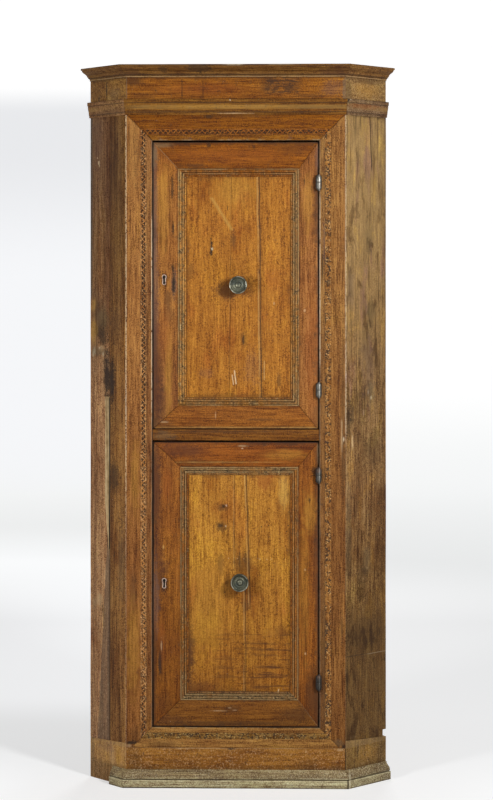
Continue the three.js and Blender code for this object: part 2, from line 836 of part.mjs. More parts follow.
// The section of the moulding round a panel, as [from the frame inwards, up from the panel]
function trimSection() {
  const beadStart = trimLip.width;
  const beadEnd = beadStart + trimBead.width;
  const coveEnd = beadEnd + trimCoveWidth;
  const points = [[0, fitGap], [0, trimLip.rise], [trimLip.width, trimLip.rise]];
  for (let i = 0; i <= beadSteps; i += 1) {
    const angle = Math.PI * (1 - i / beadSteps);
    points.push([
      (beadStart + beadEnd + trimBead.width * Math.cos(angle)) / 2,
      trimBead.foot + (trimBead.rise - trimBead.foot) * Math.sin(angle),
    ]);
  }
  points.push(...cove([beadEnd, trimBead.foot], [coveEnd, trimToe.rise]).slice(1));
  points.push([coveEnd + trimToe.width, trimToe.rise], [coveEnd + trimToe.width, fitGap]);
  return points;
}

// The moulding runs round the panel as one ring with mitred corners
function panelTrim(door) {
  const { left, right, bottom, top } = panelOpening(door);
  const section = trimSection();
  const corners = [[left, bottom, 1, 1], [right, bottom, -1, 1], [right, top, -1, -1], [left, top, 1, -1]];
  const positions = [];
  for (const [x, z, inX, inZ] of corners) {
    for (const [inwards, rise] of section) {
      const across = inwards + fitGap;
      positions.push(x + inX * across, panelSetback - rise, z + inZ * across);
    }
  }
  const index = [];
  const count = section.length;
  for (let corner = 0; corner < corners.length; corner += 1) {
    const here = corner * count;
    const next = ((corner + 1) % corners.length) * count;
    for (let i = 0; i < count; i += 1) {
      const j = (i + 1) % count;
      index.push(here + i, next + i, next + j, here + i, next + j, here + j);
    }
  }
  const geometry = new THREE.BufferGeometry();
  geometry.setAttribute("position", new THREE.Float32BufferAttribute(positions, 3));
  geometry.setIndex(index);
  return geometry.toNonIndexed();
}

// The knob is turned: nut, spindle through the panel, rose, neck, rim and dished face, as
// [radius, how far in front of the panel's face]
function knobSection() {
  const dish = knobStand - knobDishDepth;
  const rimInside = knobRadius - knobRimWidth;
  const ringOutside = knobRingRadius + knobRingWidth;
  const rimFoot = knobStand - knobRimHeight;
  const nutFront = -panelThickness - fitGap;
  const flare = cove([knobNeckRadius, knobRoseHeight + knobRimHeight], [knobRadius, rimFoot]);
  return [
    [0, nutFront - nutHeight],
    [nutRadius, nutFront - nutHeight],
    [nutRadius, nutFront],
    [spindleRadius, nutFront],
    [spindleRadius, fitGap],
    [knobRoseRadius, fitGap],
    [knobRoseRadius, knobRoseHeight / 2],
    [knobNeckRadius, knobRoseHeight],
    ...flare,
    [knobRadius, knobStand - knobRimWidth],
    [knobRadius - knobRimWidth / 2, knobStand],
    [rimInside, knobStand - knobRimWidth / 2],
    [ringOutside, dish],
    [knobRingRadius + knobRingWidth / 2, dish + knobRingRise],
    [knobRingRadius, dish],
    [knobBossRadius, dish],
    [knobBossRadius / 2 + knobDimpleRadius / 2, dish + knobBossRise],
    [knobDimpleRadius, dish + knobBossRise],
    [0, dish + knobBossRise - knobDimpleDepth],
  ];
}

// Turn a section about an upright line, with the section's heights along Y
function turned(section) {
  const points = section.map(([radius, up]) => new THREE.Vector2(radius, up));
  return new THREE.LatheGeometry(points, roundSides);
}

function doorKnob(door) {
  const { x, z } = knobPlace(door);
  return turned(knobSection()).rotateZ(Math.PI).translate(x, panelSetback, z);
}

// The rounded end of a barrel, as [radius, height above the hinge's middle]
function barrelDome() {
  const points = [];
  const shoulder = barrelHalfHeight - barrelDomeHeight;
  for (let i = 0; i < domeSteps; i += 1) {
    const angle = Math.PI / 2 * i / domeSteps;
    points.push([
      barrelRadius * Math.cos(angle),
      shoulder + barrelDomeHeight * Math.sin(angle),
    ]);
  }
  return [...points, [0, barrelHalfHeight]];
}

// The leaf of a hinge, let into the edge of the frame or of the door
function hingeLeaf(height, toRight) {
  const { low, high } = leafSpan(toRight);
  const start = hingeAxis.y + hingePinRadius + runGap + leafOffset;
  const near = height - toRight * runGap / 2;
  const far = near - toRight * leafHeight;
  return block([low, start, Math.min(near, far)], [high, leafLetIn, Math.max(near, far)]);
}

// Stand a turned piece of a hinge on its axis
function onHinge(geometry, height) {
  return geometry.rotateX(Math.PI / 2).translate(hingeAxis.x, hingeAxis.y, height);
}

// The door's half is the upper one, and is bored for the pin
function hingeDoorHalf(height) {
  const bore = hingePinRadius + runGap;
  const barrel = turned([
    [0, hingePinLength + runGap],
    [bore, hingePinLength + runGap],
    [bore, runGap / 2],
    [barrelRadius, runGap / 2],
    ...barrelDome(),
  ]);
  return join(onHinge(barrel, height), hingeLeaf(height, -1));
}

// The frame's half is the lower one, and carries the pin
function hingeFrameHalf(height) {
  const barrel = turned([
    ...barrelDome().map(([radius, up]) => [radius, -up]).reverse(),
    [barrelRadius, -runGap / 2],
    [hingePinRadius, -runGap / 2],
    [hingePinRadius, hingePinLength],
    [0, hingePinLength],
  ]);
  return join(onHinge(barrel, height), hingeLeaf(height, 1));
}

function addDoor(door) {
  const recesses = hingeHeights(door).map(([, height]) => leafRecess(height, -1));
  const hingeStile = doorStile(door, doorRight, -1, door.hingeStile);
  const doorTop = door.bottom + door.height;
  addPiece(`${door.name}_lock_stile`, lockStile(door), frameWood);
  addPiece(`${door.name}_hinge_stile`, cut(hingeStile, ...recesses), frameWood);
  addPiece(`${door.name}_top_rail`, doorRail(door, doorTop, -1, door.topRail), frameWood);
  addPiece(`${door.name}_bottom_rail`, doorRail(door, door.bottom, 1, door.bottomRail), frameWood);
  addPiece(`${door.name}_panel`, doorPanel(door), panelWood);
  addPiece(`${door.name}_panel_moulding`, panelTrim(door), trimWood);
  addPiece(`${door.name}_knob`, doorKnob(door), brass);
  addPiece(`${door.name}_keyhole_liner`, keyholeLiner(door), brass);
  addPiece(`${door.name}_lock_case`, lockCase(door), iron);
  addPiece(`${door.name}_lock_bolt`, lockBolt(door), iron);
  for (const [where, height] of hingeHeights(door)) {
    addPiece(`${door.name}_${where}_hinge_door_half`, hingeDoorHalf(height), iron);
    addPiece(`${door.name}_${where}_hinge_frame_half`, hingeFrameHalf(height), iron);
  }
}

const doors = [
  { ...upperDoor, bottom: upperOpening.bottom + doorFootGap },
  { ...lowerDoor, bottom: lowerOpening.bottom + doorFootGap },
];

addFlatBoards();
addWallPlanks();
addCantedSides();
addFriezeAndPlinth();
addMouldings();
addFrontFrame();
doors.forEach(addDoor);

// Set the origin in the middle of the box: the crown or the knobs reach furthest forward
const frontReach = Math.max(crownTop.out, knobStand - panelSetback);
cupboard.position.y = (frontReach - roomCorner) / 2;

export default cupboard;
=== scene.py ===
import json
import math

import bmesh
import bpy
from bpy.props import FloatProperty, FloatVectorProperty, IntProperty, PointerProperty
from mathutils import Matrix, Vector, noise


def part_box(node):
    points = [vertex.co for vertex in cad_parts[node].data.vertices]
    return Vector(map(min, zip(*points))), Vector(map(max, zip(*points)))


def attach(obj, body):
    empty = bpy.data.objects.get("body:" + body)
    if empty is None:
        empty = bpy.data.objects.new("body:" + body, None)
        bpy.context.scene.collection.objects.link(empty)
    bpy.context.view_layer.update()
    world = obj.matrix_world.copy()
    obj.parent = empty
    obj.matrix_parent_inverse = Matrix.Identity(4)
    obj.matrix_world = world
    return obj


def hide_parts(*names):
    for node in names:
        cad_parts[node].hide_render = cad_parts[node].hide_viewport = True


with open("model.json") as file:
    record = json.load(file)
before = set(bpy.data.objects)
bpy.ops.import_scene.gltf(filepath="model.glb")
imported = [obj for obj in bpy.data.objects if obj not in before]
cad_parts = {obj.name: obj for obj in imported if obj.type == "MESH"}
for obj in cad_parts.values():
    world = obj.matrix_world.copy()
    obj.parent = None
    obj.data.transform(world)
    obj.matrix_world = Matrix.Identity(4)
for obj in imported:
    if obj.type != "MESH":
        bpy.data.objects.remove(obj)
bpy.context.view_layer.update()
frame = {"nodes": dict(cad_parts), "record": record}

bl_info = {
    "name": "Corner Cupboard",
    "version": (1, 0, 0),
    "blender": (4, 5, 0),
    "location": "3D View > Sidebar > Cupboard",
    "description": "An old corner cupboard with canted sides, a carved door frame and two panelled doors",
    "category": "Object",
}

# What the frame says
BODY_OF = {node: body for body, nodes in frame["record"]["behaviour"]["bodies"].items() for node in nodes}
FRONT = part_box("middle_rail")[0].y

# The true lines of the front, which its pieces stand a little clear of
OPENING_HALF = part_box("middle_rail")[1].x + 0.0003
OPENING_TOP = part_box("top_rail")[0].z - 0.0003
OPENING_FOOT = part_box("bottom_rail")[1].z
BODY_HALF = -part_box("left_stile")[0].x + 0.0004

HALF_ROOT = math.sqrt(0.5)
ALONG = {"front": (1, 0, 0), "left": (-HALF_ROOT, HALF_ROOT, 0), "right": (HALF_ROOT, HALF_ROOT, 0)}
DOORS = ("upper_door", "lower_door")
CANT_RUN = 0.113  # how far a canted side runs out sideways
JOINT = (0.121, 0.105)  # the frame's joint above the side plinths, at the front corner and at the wall
WORN_JOINTS = {"left": (0.1204, 0.1107), "right": (0.1290, 0.1180)}  # where that joint has moved to
CHIP_TOP = (0.134, 0.1382)  # the top of the chip in the right side, in the frame and worn

MM = 0.001
BAND_BACK = 0.0033  # how far the back of the carved band lies behind the front
NOISE_SEED = 5  # without a seed of its own, noise_vector gives other values in every run
WALL_DISTANCE = 8.5  # how far behind the cupboard the stage's wall stands
WALL_HEIGHT = 6.0


def colour_property(name, description, default):
    return FloatVectorProperty(name=name, description=description, subtype="COLOR", size=3, min=0, max=1,
                               default=default)


def length_property(name, description, default):
    return FloatProperty(name=name, description=description, subtype="DISTANCE", unit="LENGTH", min=0,
                         default=default)


def power_property(name, description, default):
    return FloatProperty(name=name, description=description, unit="POWER", min=0, default=default)


# Sizes and colours that a user would change


class CupboardWood(bpy.types.PropertyGroup):
    """Colours of the wood"""

    frame: colour_property("Frame", "Waxed wood of the door frame and the doors", (0.33, 0.125, 0.028))
    panel: colour_property("Panels", "Golden wood of the two panels", (0.46, 0.192, 0.034))
    left_side: colour_property("Left side",
                               "Dark stained wood of the left canted side", (0.165, 0.088, 0.038))
    right_side: colour_property("Right side",
                                "Sun-bleached wood of the right canted side", (0.27, 0.165, 0.07))
    cornice: colour_property("Cornice", "Dark waxed wood of the upper mouldings", (0.235, 0.115, 0.030))
    base: colour_property("Base", "Worn pale paint of the moulding at the floor", (0.34, 0.275, 0.148))
    trim: colour_property("Panel moulding", "Grimy moulding round the panels", (0.26, 0.115, 0.028))
    raw: colour_property("Inside", "Bare wood inside and at the back", (0.36, 0.24, 0.12))
    # This colour of old dirt is also laid as painted shade, in the gaps round the doors and along the floor
    grime_and_shade: colour_property("Grime", "Old dirt in joints and corners", (0.035, 0.02, 0.012))
    worn: colour_property("Worn edges", "Bare wood where edges are rubbed", (0.62, 0.42, 0.22))
    rubbed: colour_property("Rubbed corners", "Bare wood along the long front corners", (0.70, 0.53, 0.35))


class CupboardMetal(bpy.types.PropertyGroup):
    """Colours of the fittings"""

    brass: colour_property("Brass", "Old brass of the knobs and keyholes", (0.17, 0.165, 0.115))
    tarnish: colour_property("Tarnish", "Film in the hollows of the brass", (0.018, 0.026, 0.02))
    iron: colour_property("Iron", "Hinges and locks", (0.2, 0.19, 0.16))


class CupboardSizes(bpy.types.PropertyGroup):
    """Sizes of what is finer than the frame"""

    edge: length_property("Edge rounding", "How far sharp wooden edges are worn round", 0.0009)
    warp: length_property("Unevenness", "How far old boards stray from flat and straight", 0.0004)
    fillet: length_property("Fillet", "From the opening to the carved band", 0.0166)
    band: length_property("Carved band", "Width of the carved band", 0.0167)
    carving_pitch: length_property("Carving pitch", "Length of one repeat of the zigzag", 0.0144)
    carving_depth: length_property("Carving depth", "Depth of the notches where they are crisp", 0.0028)
    carving_steps: IntProperty(name="Carving steps", description="Mesh columns in one repeat",
                               default=12, min=6, max=24)
    knob_sides: IntProperty(name="Knob sides", description="Facets round a turned knob",
                            default=72, min=24, max=128)
    knob_dots: IntProperty(name="Knob dots", description="Beads in the ring on a knob's face",
                           default=22, min=8, max=40)


class CupboardStage(bpy.types.PropertyGroup):
    """The floor, the backdrop and the lamps"""

    floor: length_property("Floor", "Width of the floor and the backdrop", 18.0)
    sweep: length_property("Sweep", "Radius of the curve between floor and backdrop", 0.8)
    right_lamp: power_property("Right lamp", "Power of the lamp on the right", 64)
    left_lamp: power_property("Left lamp", "Power of the lamp on the left", 34)
    back_lamp: power_property("Back lamp", "Power of the lamp behind", 45)
    lamp_size: length_property("Lamp size", "Width of each lamp's soft box", 0.4)
    sky: FloatProperty(name="Room light", description="Light from all around", default=0.12, min=0, max=2)


# Shaders: numbers as Python expressions, everything else through one method


class Number:
    """A number socket that Python's operators work on"""

    def __init__(self, look, socket):
        self.look = look
        self.socket = socket

    def math(self, operation, *others, first=None, clamp=False):
        values = [self, *others] if first is None else [first, self]
        inputs = dict(enumerate(values))
        settings = {"operation": operation, "use_clamp": clamp}
        return Number(self.look, self.look.node("ShaderNodeMath", settings, inputs).outputs[0])

    def __add__(self, other):
        return self.math("ADD", other)

    def __mul__(self, other):
        return self.math("MULTIPLY", other)

    def __sub__(self, other):
        return self.math("SUBTRACT", other)

    def __truediv__(self, other):
        return self.math("DIVIDE", other)

    def __pow__(self, other):
        return self.math("POWER", other)

    def __radd__(self, other):
        return self.math("ADD", other)

    def __rmul__(self, other):
        return self.math("MULTIPLY", other)

    def __rsub__(self, other):
        return self.math("SUBTRACT", first=other)

    def __rtruediv__(self, other):
        return self.math("DIVIDE", first=other)

    def __abs__(self):
        return self.math("ABSOLUTE")

    def sine(self):
        return self.math("SINE")

    def least(self, other):
        return self.math("MINIMUM", other)

    def most(self, other):
        return self.math("MAXIMUM", other)

    def clamped(self):
        return self.math("ADD", 0, clamp=True)

    def step(self, low, high):
        """0 below low, 1 above high, and smooth between"""
        settings = {"interpolation_type": "SMOOTHSTEP"}
        inputs = {"Value": self, "From Min": low, "From Max": high, "To Min": 0, "To Max": 1}
        return Number(self.look, self.look.node("ShaderNodeMapRange", settings, inputs).outputs[0])


class Look:
    """A material, or the world, and the nodes in it"""

    def __init__(self, name, world=None):
        self.material = world or bpy.data.materials.new(name)
        self.material.use_nodes = True
        self.tree = self.material.node_tree
        self.tree.nodes.clear()
        if world is None:
            self.place = self.node("ShaderNodeTexCoord").outputs["Object"]
            parts = self.node("ShaderNodeSeparateXYZ", {}, {0: self.place})
            self.x, self.y, self.z = (Number(self, parts.outputs[i]) for i in range(3))

    def node(self, kind, settings=None, inputs=None):
        """Add a node: its settings first, then what its sockets hold or take"""
        node = self.tree.nodes.new(kind)
        for key, value in (settings or {}).items():
            if key == "stops":
                self.set_stops(node.color_ramp, value)
            else:
                setattr(node, key, value)
        for key, value in (inputs or {}).items():
            socket = node.inputs[key]
            if isinstance(value, Number):
                self.tree.links.new(value.socket, socket)
            elif isinstance(value, bpy.types.NodeSocket):
                self.tree.links.new(value, socket)
            elif socket.type == "RGBA" and len(value) == 3:
                socket.default_value = (*value, 1)
            else:
                socket.default_value = value
        return node

    def set_stops(self, ramp, stops):
        while len(ramp.elements) < len(stops):
            ramp.elements.new(0.5)
        for element, (place, colour) in zip(ramp.elements, stops):
            element.position = place
            element.color = (*colour, 1)

    def vector(self, x, y, z):
        """Three numbers as one vector"""
        return self.node("ShaderNodeCombineXYZ", {}, {0: x, 1: y, 2: z}).outputs[0]

    def noise(self, vector, scale=1.0, detail=2.0, roughness=0.5, distortion=0.0):
        inputs = {"Vector": vector, "Scale": scale, "Detail": detail, "Roughness": roughness,
                  "Distortion": distortion}
        return Number(self, self.node("ShaderNodeTexNoise", {}, inputs).outputs[0])

    def over(self, sideways, up, *settings):
        """Noise over a face, with its own stretch across and up it"""
        return self.noise(self.vector(sideways, 0.0, up), 1, *settings)

    def cells(self, vector, scale):
        inputs = {"Vector": vector, "Scale": scale}
        return Number(self, self.node("ShaderNodeTexVoronoi", {"feature": "F1"}, inputs).outputs["Distance"])

    def ramp(self, factor, stops):
        return self.node("ShaderNodeValToRGB", {"stops": stops}, {0: factor}).outputs[0]

    def mix(self, first, second, factor, blend="MIX"):
        settings = {"data_type": "RGBA", "blend_type": blend, "clamp_factor": True}
        return self.node("ShaderNodeMix", settings, {0: factor, 6: first, 7: second}).outputs[2]

    def spot(self, face, place, size, ragged):
        """1 in the middle of an oval place on a face, and 0 outside it. ragged moves its edge."""
        centre = (place[0], 0, place[1])
        shares = (1 / size[0], 0, 1 / size[1])
        away = self.node("ShaderNodeVectorMath", {"operation": "SUBTRACT"}, {0: face, 1: centre}).outputs[0]
        scaled = self.node("ShaderNodeVectorMath", {"operation": "MULTIPLY"}, {0: away, 1: shares}).outputs[0]
        length = self.node("ShaderNodeVectorMath", {"operation": "LENGTH"}, {0: scaled}).outputs["Value"]
        return (1.38 - (Number(self, length) + ragged)).step(0, 0.95)

    def white_in_view(self):
        """1 where the camera looks, also through glass or in a reflection, and 0 elsewhere"""
        path = self.node("ShaderNodeLightPath")
        camera, glossy, through = (Number(self, path.outputs[f"Is {kind} Ray"])
                                   for kind in ("Camera", "Glossy", "Transmission"))
        return camera.most(glossy).most(through)

    def finish(self, colour, roughness, height, depth, specular, metallic=0.0):
        """End in a surface with a relief: height is a share of depth"""
        bump = self.node("ShaderNodeBump", {}, {"Strength": 1.0, "Distance": depth, "Height": height})
        shader = self.node("ShaderNodeBsdfPrincipled", {}, {
            "Base Color": colour,
            "Roughness": roughness,
            "Metallic": metallic,
            "Specular IOR Level": specular,
            "Normal": bump.outputs[0],
        })
        self.node("ShaderNodeOutputMaterial", {}, {0: shader.outputs[0]})
        return self.material


def shade(colour, factor):
    """A colour times a number, or times a tint of three numbers"""
    factors = factor if isinstance(factor, tuple) else (factor,) * 3
    return tuple(min(1.0, value * share) for value, share in zip(colour, factors))


def blend(first, second, share):
    return tuple(a + (b - a) * share for a, b in zip(first, second))


class Surface:
    """Which way a piece faces and its grain runs"""

    def __init__(self, face="front", grain="up"):
        self.face = face
        self.grain = grain

    def across(self, look):
        """The level coordinate on the face, from the front corner on a canted side"""
        if self.face == "left":
            return (look.x * -1 - BODY_HALF) / HALF_ROOT
        if self.face == "right":
            return (look.x - BODY_HALF) / HALF_ROOT
        if self.face == "left_wall":
            return (look.x + look.y) * HALF_ROOT
        if self.face == "right_wall":
            return (look.x - look.y) * HALF_ROOT
        return look.x

    def level(self):
        return self.face == "level"


def grain_coordinates(look, surface):
    """Across the grain, along it, and into the board"""
    sideways = surface.across(look)
    if surface.level():
        return look.y, look.x, look.z
    into = look.y
    if surface.grain == "up":
        return sideways, look.z, into
    return look.z, sideways, into


def line_mask(look, sideways, up, ends, width, wander):
    """1 on a straight line between two places on a face, and 0 away from it"""
    (x0, z0), (x1, z1) = ends
    length = math.hypot(x1 - x0, z1 - z0)
    normal = ((z1 - z0) / length, -(x1 - x0) / length)
    away = abs((sideways - x0) * normal[0] + (up - z0) * normal[1] + wander)
    return 1 - (away / width).clamped()


def stripe(value, place, width):
    """1 at a place and 0 a width away from it"""
    return 1 - (abs(value - place) / width).clamped()


def combed(look, paint, sideways, up, strength, pitch=300):
    """Fine lines along a moulding, dark and pale, as a worn profile has"""
    lines = look.over(sideways * 2.6, up * pitch, 3, 0.72)
    paint.tint((0.42, 0.36, 0.32), lines.step(0.53, 0.64) * strength)
    paint.tint((1.42, 1.46, 1.5), lines.step(0.46, 0.36) * strength)


class Paint:
    """The colour and the relief of a surface, built up coat by coat"""

    def __init__(self, look, colour, relief):
        self.look = look
        self.colour = colour
        self.relief = relief

    def coat(self, colour, share):
        """Lay a colour over what is there"""
        self.colour = self.look.mix(self.colour, colour, share)

    def tint(self, colour, share):
        """Multiply what is there by a colour"""
        self.colour = self.look.mix(self.colour, colour, share, "MULTIPLY")

    def grime_and_shade(self, share, tone=1.0):
        """Lay the colour of old dirt over what is there, as dirt, and as painted shade in gaps, at the floor and at
        the outer edges of the panel mouldings. tone is 1 for its own colour and less for a darker one.
        """
        self.coat(shade(wood_colour("grime_and_shade"), tone), share)

    def cut(self, depth):
        """Sink the surface"""
        self.relief = self.relief - depth


def between(value, low, high, soft):
    """1 between two places, fading over a soft stretch outside them"""
    return (value - (low - soft)).step(0, soft) * ((high + soft) - value).step(0, soft)


def wood_colour(name):
    """One of the panel's wood colours"""
    return tuple(getattr(bpy.context.scene.corner_cupboard.wood, name))


def wood(name, colour, surface, seed, marks=(), lines=(), rim=None, inner=None, contrast=1.0,
         rough=0.5, dirt=1.0, speckle=1.0, glaze=1.0, thread=0.26, extra=None, fades=(), arris=None):
    """Old softwood under worn shellac. rim is a rectangle on the face whose edges are grimy inside it, with a
    painted shadow of the gap along them, inner one whose edges are grimy outside it. marks are rows as in MARKS,
    lines are (ends, width, strength, kind), fades are (full below or left of, none past, tone, axis), and arris is
    where the long corners are fully rubbed above, least rubbed below, and how much there. extra adds what one piece
    alone has."""
    grime_and_shade, worn = wood_colour("grime_and_shade"), wood_colour("worn")
    look = Look(name)
    across, along, into = grain_coordinates(look, surface)
    sideways, up = surface.across(look), look.z
    if surface.level():
        up = look.y
    face = look.vector(sideways, 0.0, up)

    # The grain: broad streaks that fray into fibres, with a few bent growth rings
    drift = look.noise(look.vector(across * 4 + seed, into * 4, along * 1.7 + seed), 1, 3)
    bent = across + drift * 0.05
    streak = look.noise(look.vector(bent * 60 + seed, into * 60, along * 3.6), 1, 7, 0.7, 0.25)
    fibre = look.noise(look.vector(across * 300 + seed, into * 300, along * 15), 1, 4, 0.68)
    threads = look.noise(
        look.vector(across * 170 - seed, into * 170, along * 6.5), 1, 4, 0.6).step(0.555, 0.66)
    rings = (bent * 410 + streak * 9).sine() * (drift - 0.42).step(0, 0.16)
    cloud = look.noise(look.vector(across * 8 + seed, into * 8, along * 4.2 + seed), 1, 6, 0.64, 0.5)
    mottle = look.noise(look.vector(look.x * 52 + seed, look.y * 52, look.z * 52), 1, 6, 0.72)
    crumbs = look.noise(look.place, 290, 3, 0.8)
    tone = ((streak - 0.5) * 1.4 + (fibre - 0.5) * 2.1 + rings * 0.05
            + (mottle - 0.5) * 1.1 + (crumbs - 0.5) * 3.0)
    tone = tone - threads * thread
    tone = tone * contrast + 0.5
    base = look.ramp(tone, [
        (0.0, shade(colour, (0.30, 0.22, 0.20))),
        (0.28, shade(colour, (0.68, 0.60, 0.56))),
        (0.52, shade(colour, 1.0)),
        (0.78, shade(colour, (1.27, 1.34, 1.36))),
        (1.0, shade(colour, (1.62, 1.84, 2.1)))])
    paint = Paint(look, base, tone * 0.6 + fibre * 0.5)

    # Shellac: thick and red-brown in places, thin and golden in others
    thick = (cloud * 0.8 + mottle * 0.28).step(0.54, 0.72)
    thin = (cloud * 0.8 + mottle * 0.28).step(0.52, 0.38)
    paint.tint((0.62, 0.45, 0.36), thick * (0.8 * glaze))
    paint.tint((1.14, 1.24, 1.0), thin * (0.8 * glaze))

    for start, end, tint, axis in fades:
        place = up if axis == "up" else sideways
        share = (place + (cloud - 0.5) * (0.8 * abs(end - start))).step(end, start)
        paint.tint(tint, share)

    # Joints, grimy edges, and a painted shadow of the gap along a door's rim
    roughness = 0.40 + mottle * 0.24 + thick * 0.05 + (rough - 0.5)
    wander = (mottle - 0.5) * 0.0030
    for ends, width, strength, kind in lines:
        mask = (line_mask(look, sideways, up, ends, width, wander)
                * (mottle * 0.7 + crumbs * 0.5).step(0.46, 0.62))
        paint.coat({"dark": grime_and_shade, "pale": worn}[kind], mask * strength)
        paint.cut(mask * 1.2)
    if rim is not None:
        (x0, z0), (x1, z1) = rim
        edge = (sideways - x0).least(x1 - sideways).least((up - z0).least(z1 - up))
        soot = (0.010 - edge + (mottle - 0.45) * 0.045 + (cloud - 0.5) * 0.05).step(0, 0.018)
        paint.coat(shade(blend(grime_and_shade, colour, 0.18), 1.0), soot * (0.78 * dirt))
        # Painted shadow: a dark band just inside the rim widens the dark of the gap round each door
        paint.grime_and_shade((0.0021 - edge).step(0, 0.0008) * 0.94, 0.3)
    if inner is not None:
        (x0, z0), (x1, z1) = inner
        outside = (x0 - sideways).most(sideways - x1).most((z0 - up).most(up - z1))
        soot = (0.006 - outside + (mottle - 0.5) * 0.05 + (crumbs - 0.5) * 0.02).step(0, 0.012)
        paint.coat(shade(blend(grime_and_shade, colour, 0.2), 1.0), soot * (0.6 * dirt))

    # Marks in their own places
    kinds = {
        "dark": grime_and_shade,
        "soot": shade(blend(grime_and_shade, colour, 0.22), 1.0),
        "plum": (0.060, 0.022, 0.014),
        "red": (0.30, 0.080, 0.014),
        "grey": (0.185, 0.13, 0.068),
        "violet": (0.15, 0.088, 0.068),
        "gold": (0.50, 0.245, 0.035),
        "straw": (0.60, 0.36, 0.10),
        "pale": worn,
        "white": (0.70, 0.58, 0.40),
    }
    ragged = (mottle - 0.5) * 2.3 + (crumbs - 0.5) * 2.2
    woven = (fibre * 0.55 + crumbs * 0.55).step(0.44, 0.62) * 0.55 + 0.45
    for kind, x, z, half_width, half_height, strength in marks:
        mask = look.spot(face, (x * MM, z * MM), (half_width * MM, half_height * MM), ragged)
        if kind not in ("dark", "white"):
            mask = mask * woven
        paint.coat(kinds[kind], mask * strength)
        if kind in ("dark", "white"):
            paint.cut(mask * 1.2)

    # Dirt in the pores, pale knocks and worm holes
    pores = (crumbs + (mottle - 0.5) * 0.7 + (cloud - 0.5) * 0.3).step(0.62, 0.70)
    paint.grime_and_shade(pores * (0.72 * speckle), 1.2)
    knocks = (crumbs - (mottle - 0.5) * 0.5).step(0.315, 0.25)
    paint.coat(worn, knocks * (0.55 * speckle))
    holes = look.cells(look.vector(across * 1.0, into, along * 0.9 + seed), 42).step(0.085, 0.05)
    holes = holes * drift.step(0.55, 0.6)
    paint.grime_and_shade(holes * 0.9)
    paint.cut(holes * 1.4)
    paint.cut(pores * 0.5)

    # The long front corners, rubbed to bare wood
    if arris is not None:
        above, below, least = arris
        share = (look.z - below).step(0, above - below) * (1 - least) + least
        corner = ((0.0025 - abs(abs(look.x) - BODY_HALF)).step(0, 0.0012)
                  * (FRONT + 0.0034 - look.y).step(0, 0.001))
        ragged = (mottle * 0.5 + crumbs * 0.6).step(0.45, 0.60)
        paint.coat(wood_colour("rubbed"), corner * ragged * share * 0.85)

    if extra is not None:
        extra(look, paint, sideways, up, mottle, cloud)
    return look.finish(paint.colour, roughness, paint.relief, depth=0.0007, specular=0.12)


def raw_wood(name, seed, surface):
    """Wood that never had a finish"""
    return wood(name, wood_colour("raw"), surface, seed, contrast=0.7, rough=0.72, speckle=0.5, glaze=0.4)


# How the wood of each piece differs from its group's colour
TINTS = {
    "left_stile": (1.03, 1.14, 1.19),
    "right_stile": (0.97, 1.15, 1.2),
    "top_rail": (0.643, 0.521, 0.07),
    "middle_rail": (0.533, 0.488, 0.251),
    "bottom_rail": (0.98, 1.2, 1.26),
    "carved_band_left": (1.08, 1.16, 1.26),
    "carved_band_right": (0.92, 0.98, 0.90),
    "carved_band_top": (0.684, 0.512, 0.228),
    "carved_band_bottom": (0.698, 0.855, 0.738),
    "upper_door_lock_stile": (0.989, 0.995, 0.828),
    "upper_door_hinge_stile": (0.929, 0.918, 0.948),
    "upper_door_top_rail": (0.708, 0.55, 0.12),
    "upper_door_bottom_rail": (0.772, 0.664, 0.365),
    "lower_door_lock_stile": (0.774, 0.671, 0.408),
    "lower_door_hinge_stile": (0.79, 0.65, 0.332),
    "lower_door_top_rail": (0.69, 0.504, 0.23),
    "lower_door_bottom_rail": (0.592, 0.552, 0.3),
    "upper_door_panel": (0.838, 0.76, 0.504),
    "lower_door_panel": (0.893, 0.893, 0.637),
    "crown_front": (0.7, 0.62, 0.48),
    "crown_left": (0.8, 0.75, 0.75),
    "crown_right": (0.9, 0.86, 0.9),
    "cornice_front": (0.752, 0.598, 0.261),
    "cornice_left": (1.12, 1.11, 1.6),
    "cornice_right": (0.9, 1.07, 1.95),
    "frieze_front": (0.795, 0.70, 0.26),
    "frieze_left": (1.2, 1.17, 1.02),
    "frieze_right": (1.3, 1.49, 1.98),
    "left_cant_front_plank": (1.73, 1.45, 0.911),
    "left_cant_rear_plank": (2.58, 2.48, 2.45),
    "right_cant_board": (1.0, 0.86, 0.72),
    "plinth_front": (0.912, 0.98, 0.62),
    "plinth_left": (1.43, 1.93, 2.7),
    "plinth_right": (0.765, 1.09, 1.24),
}
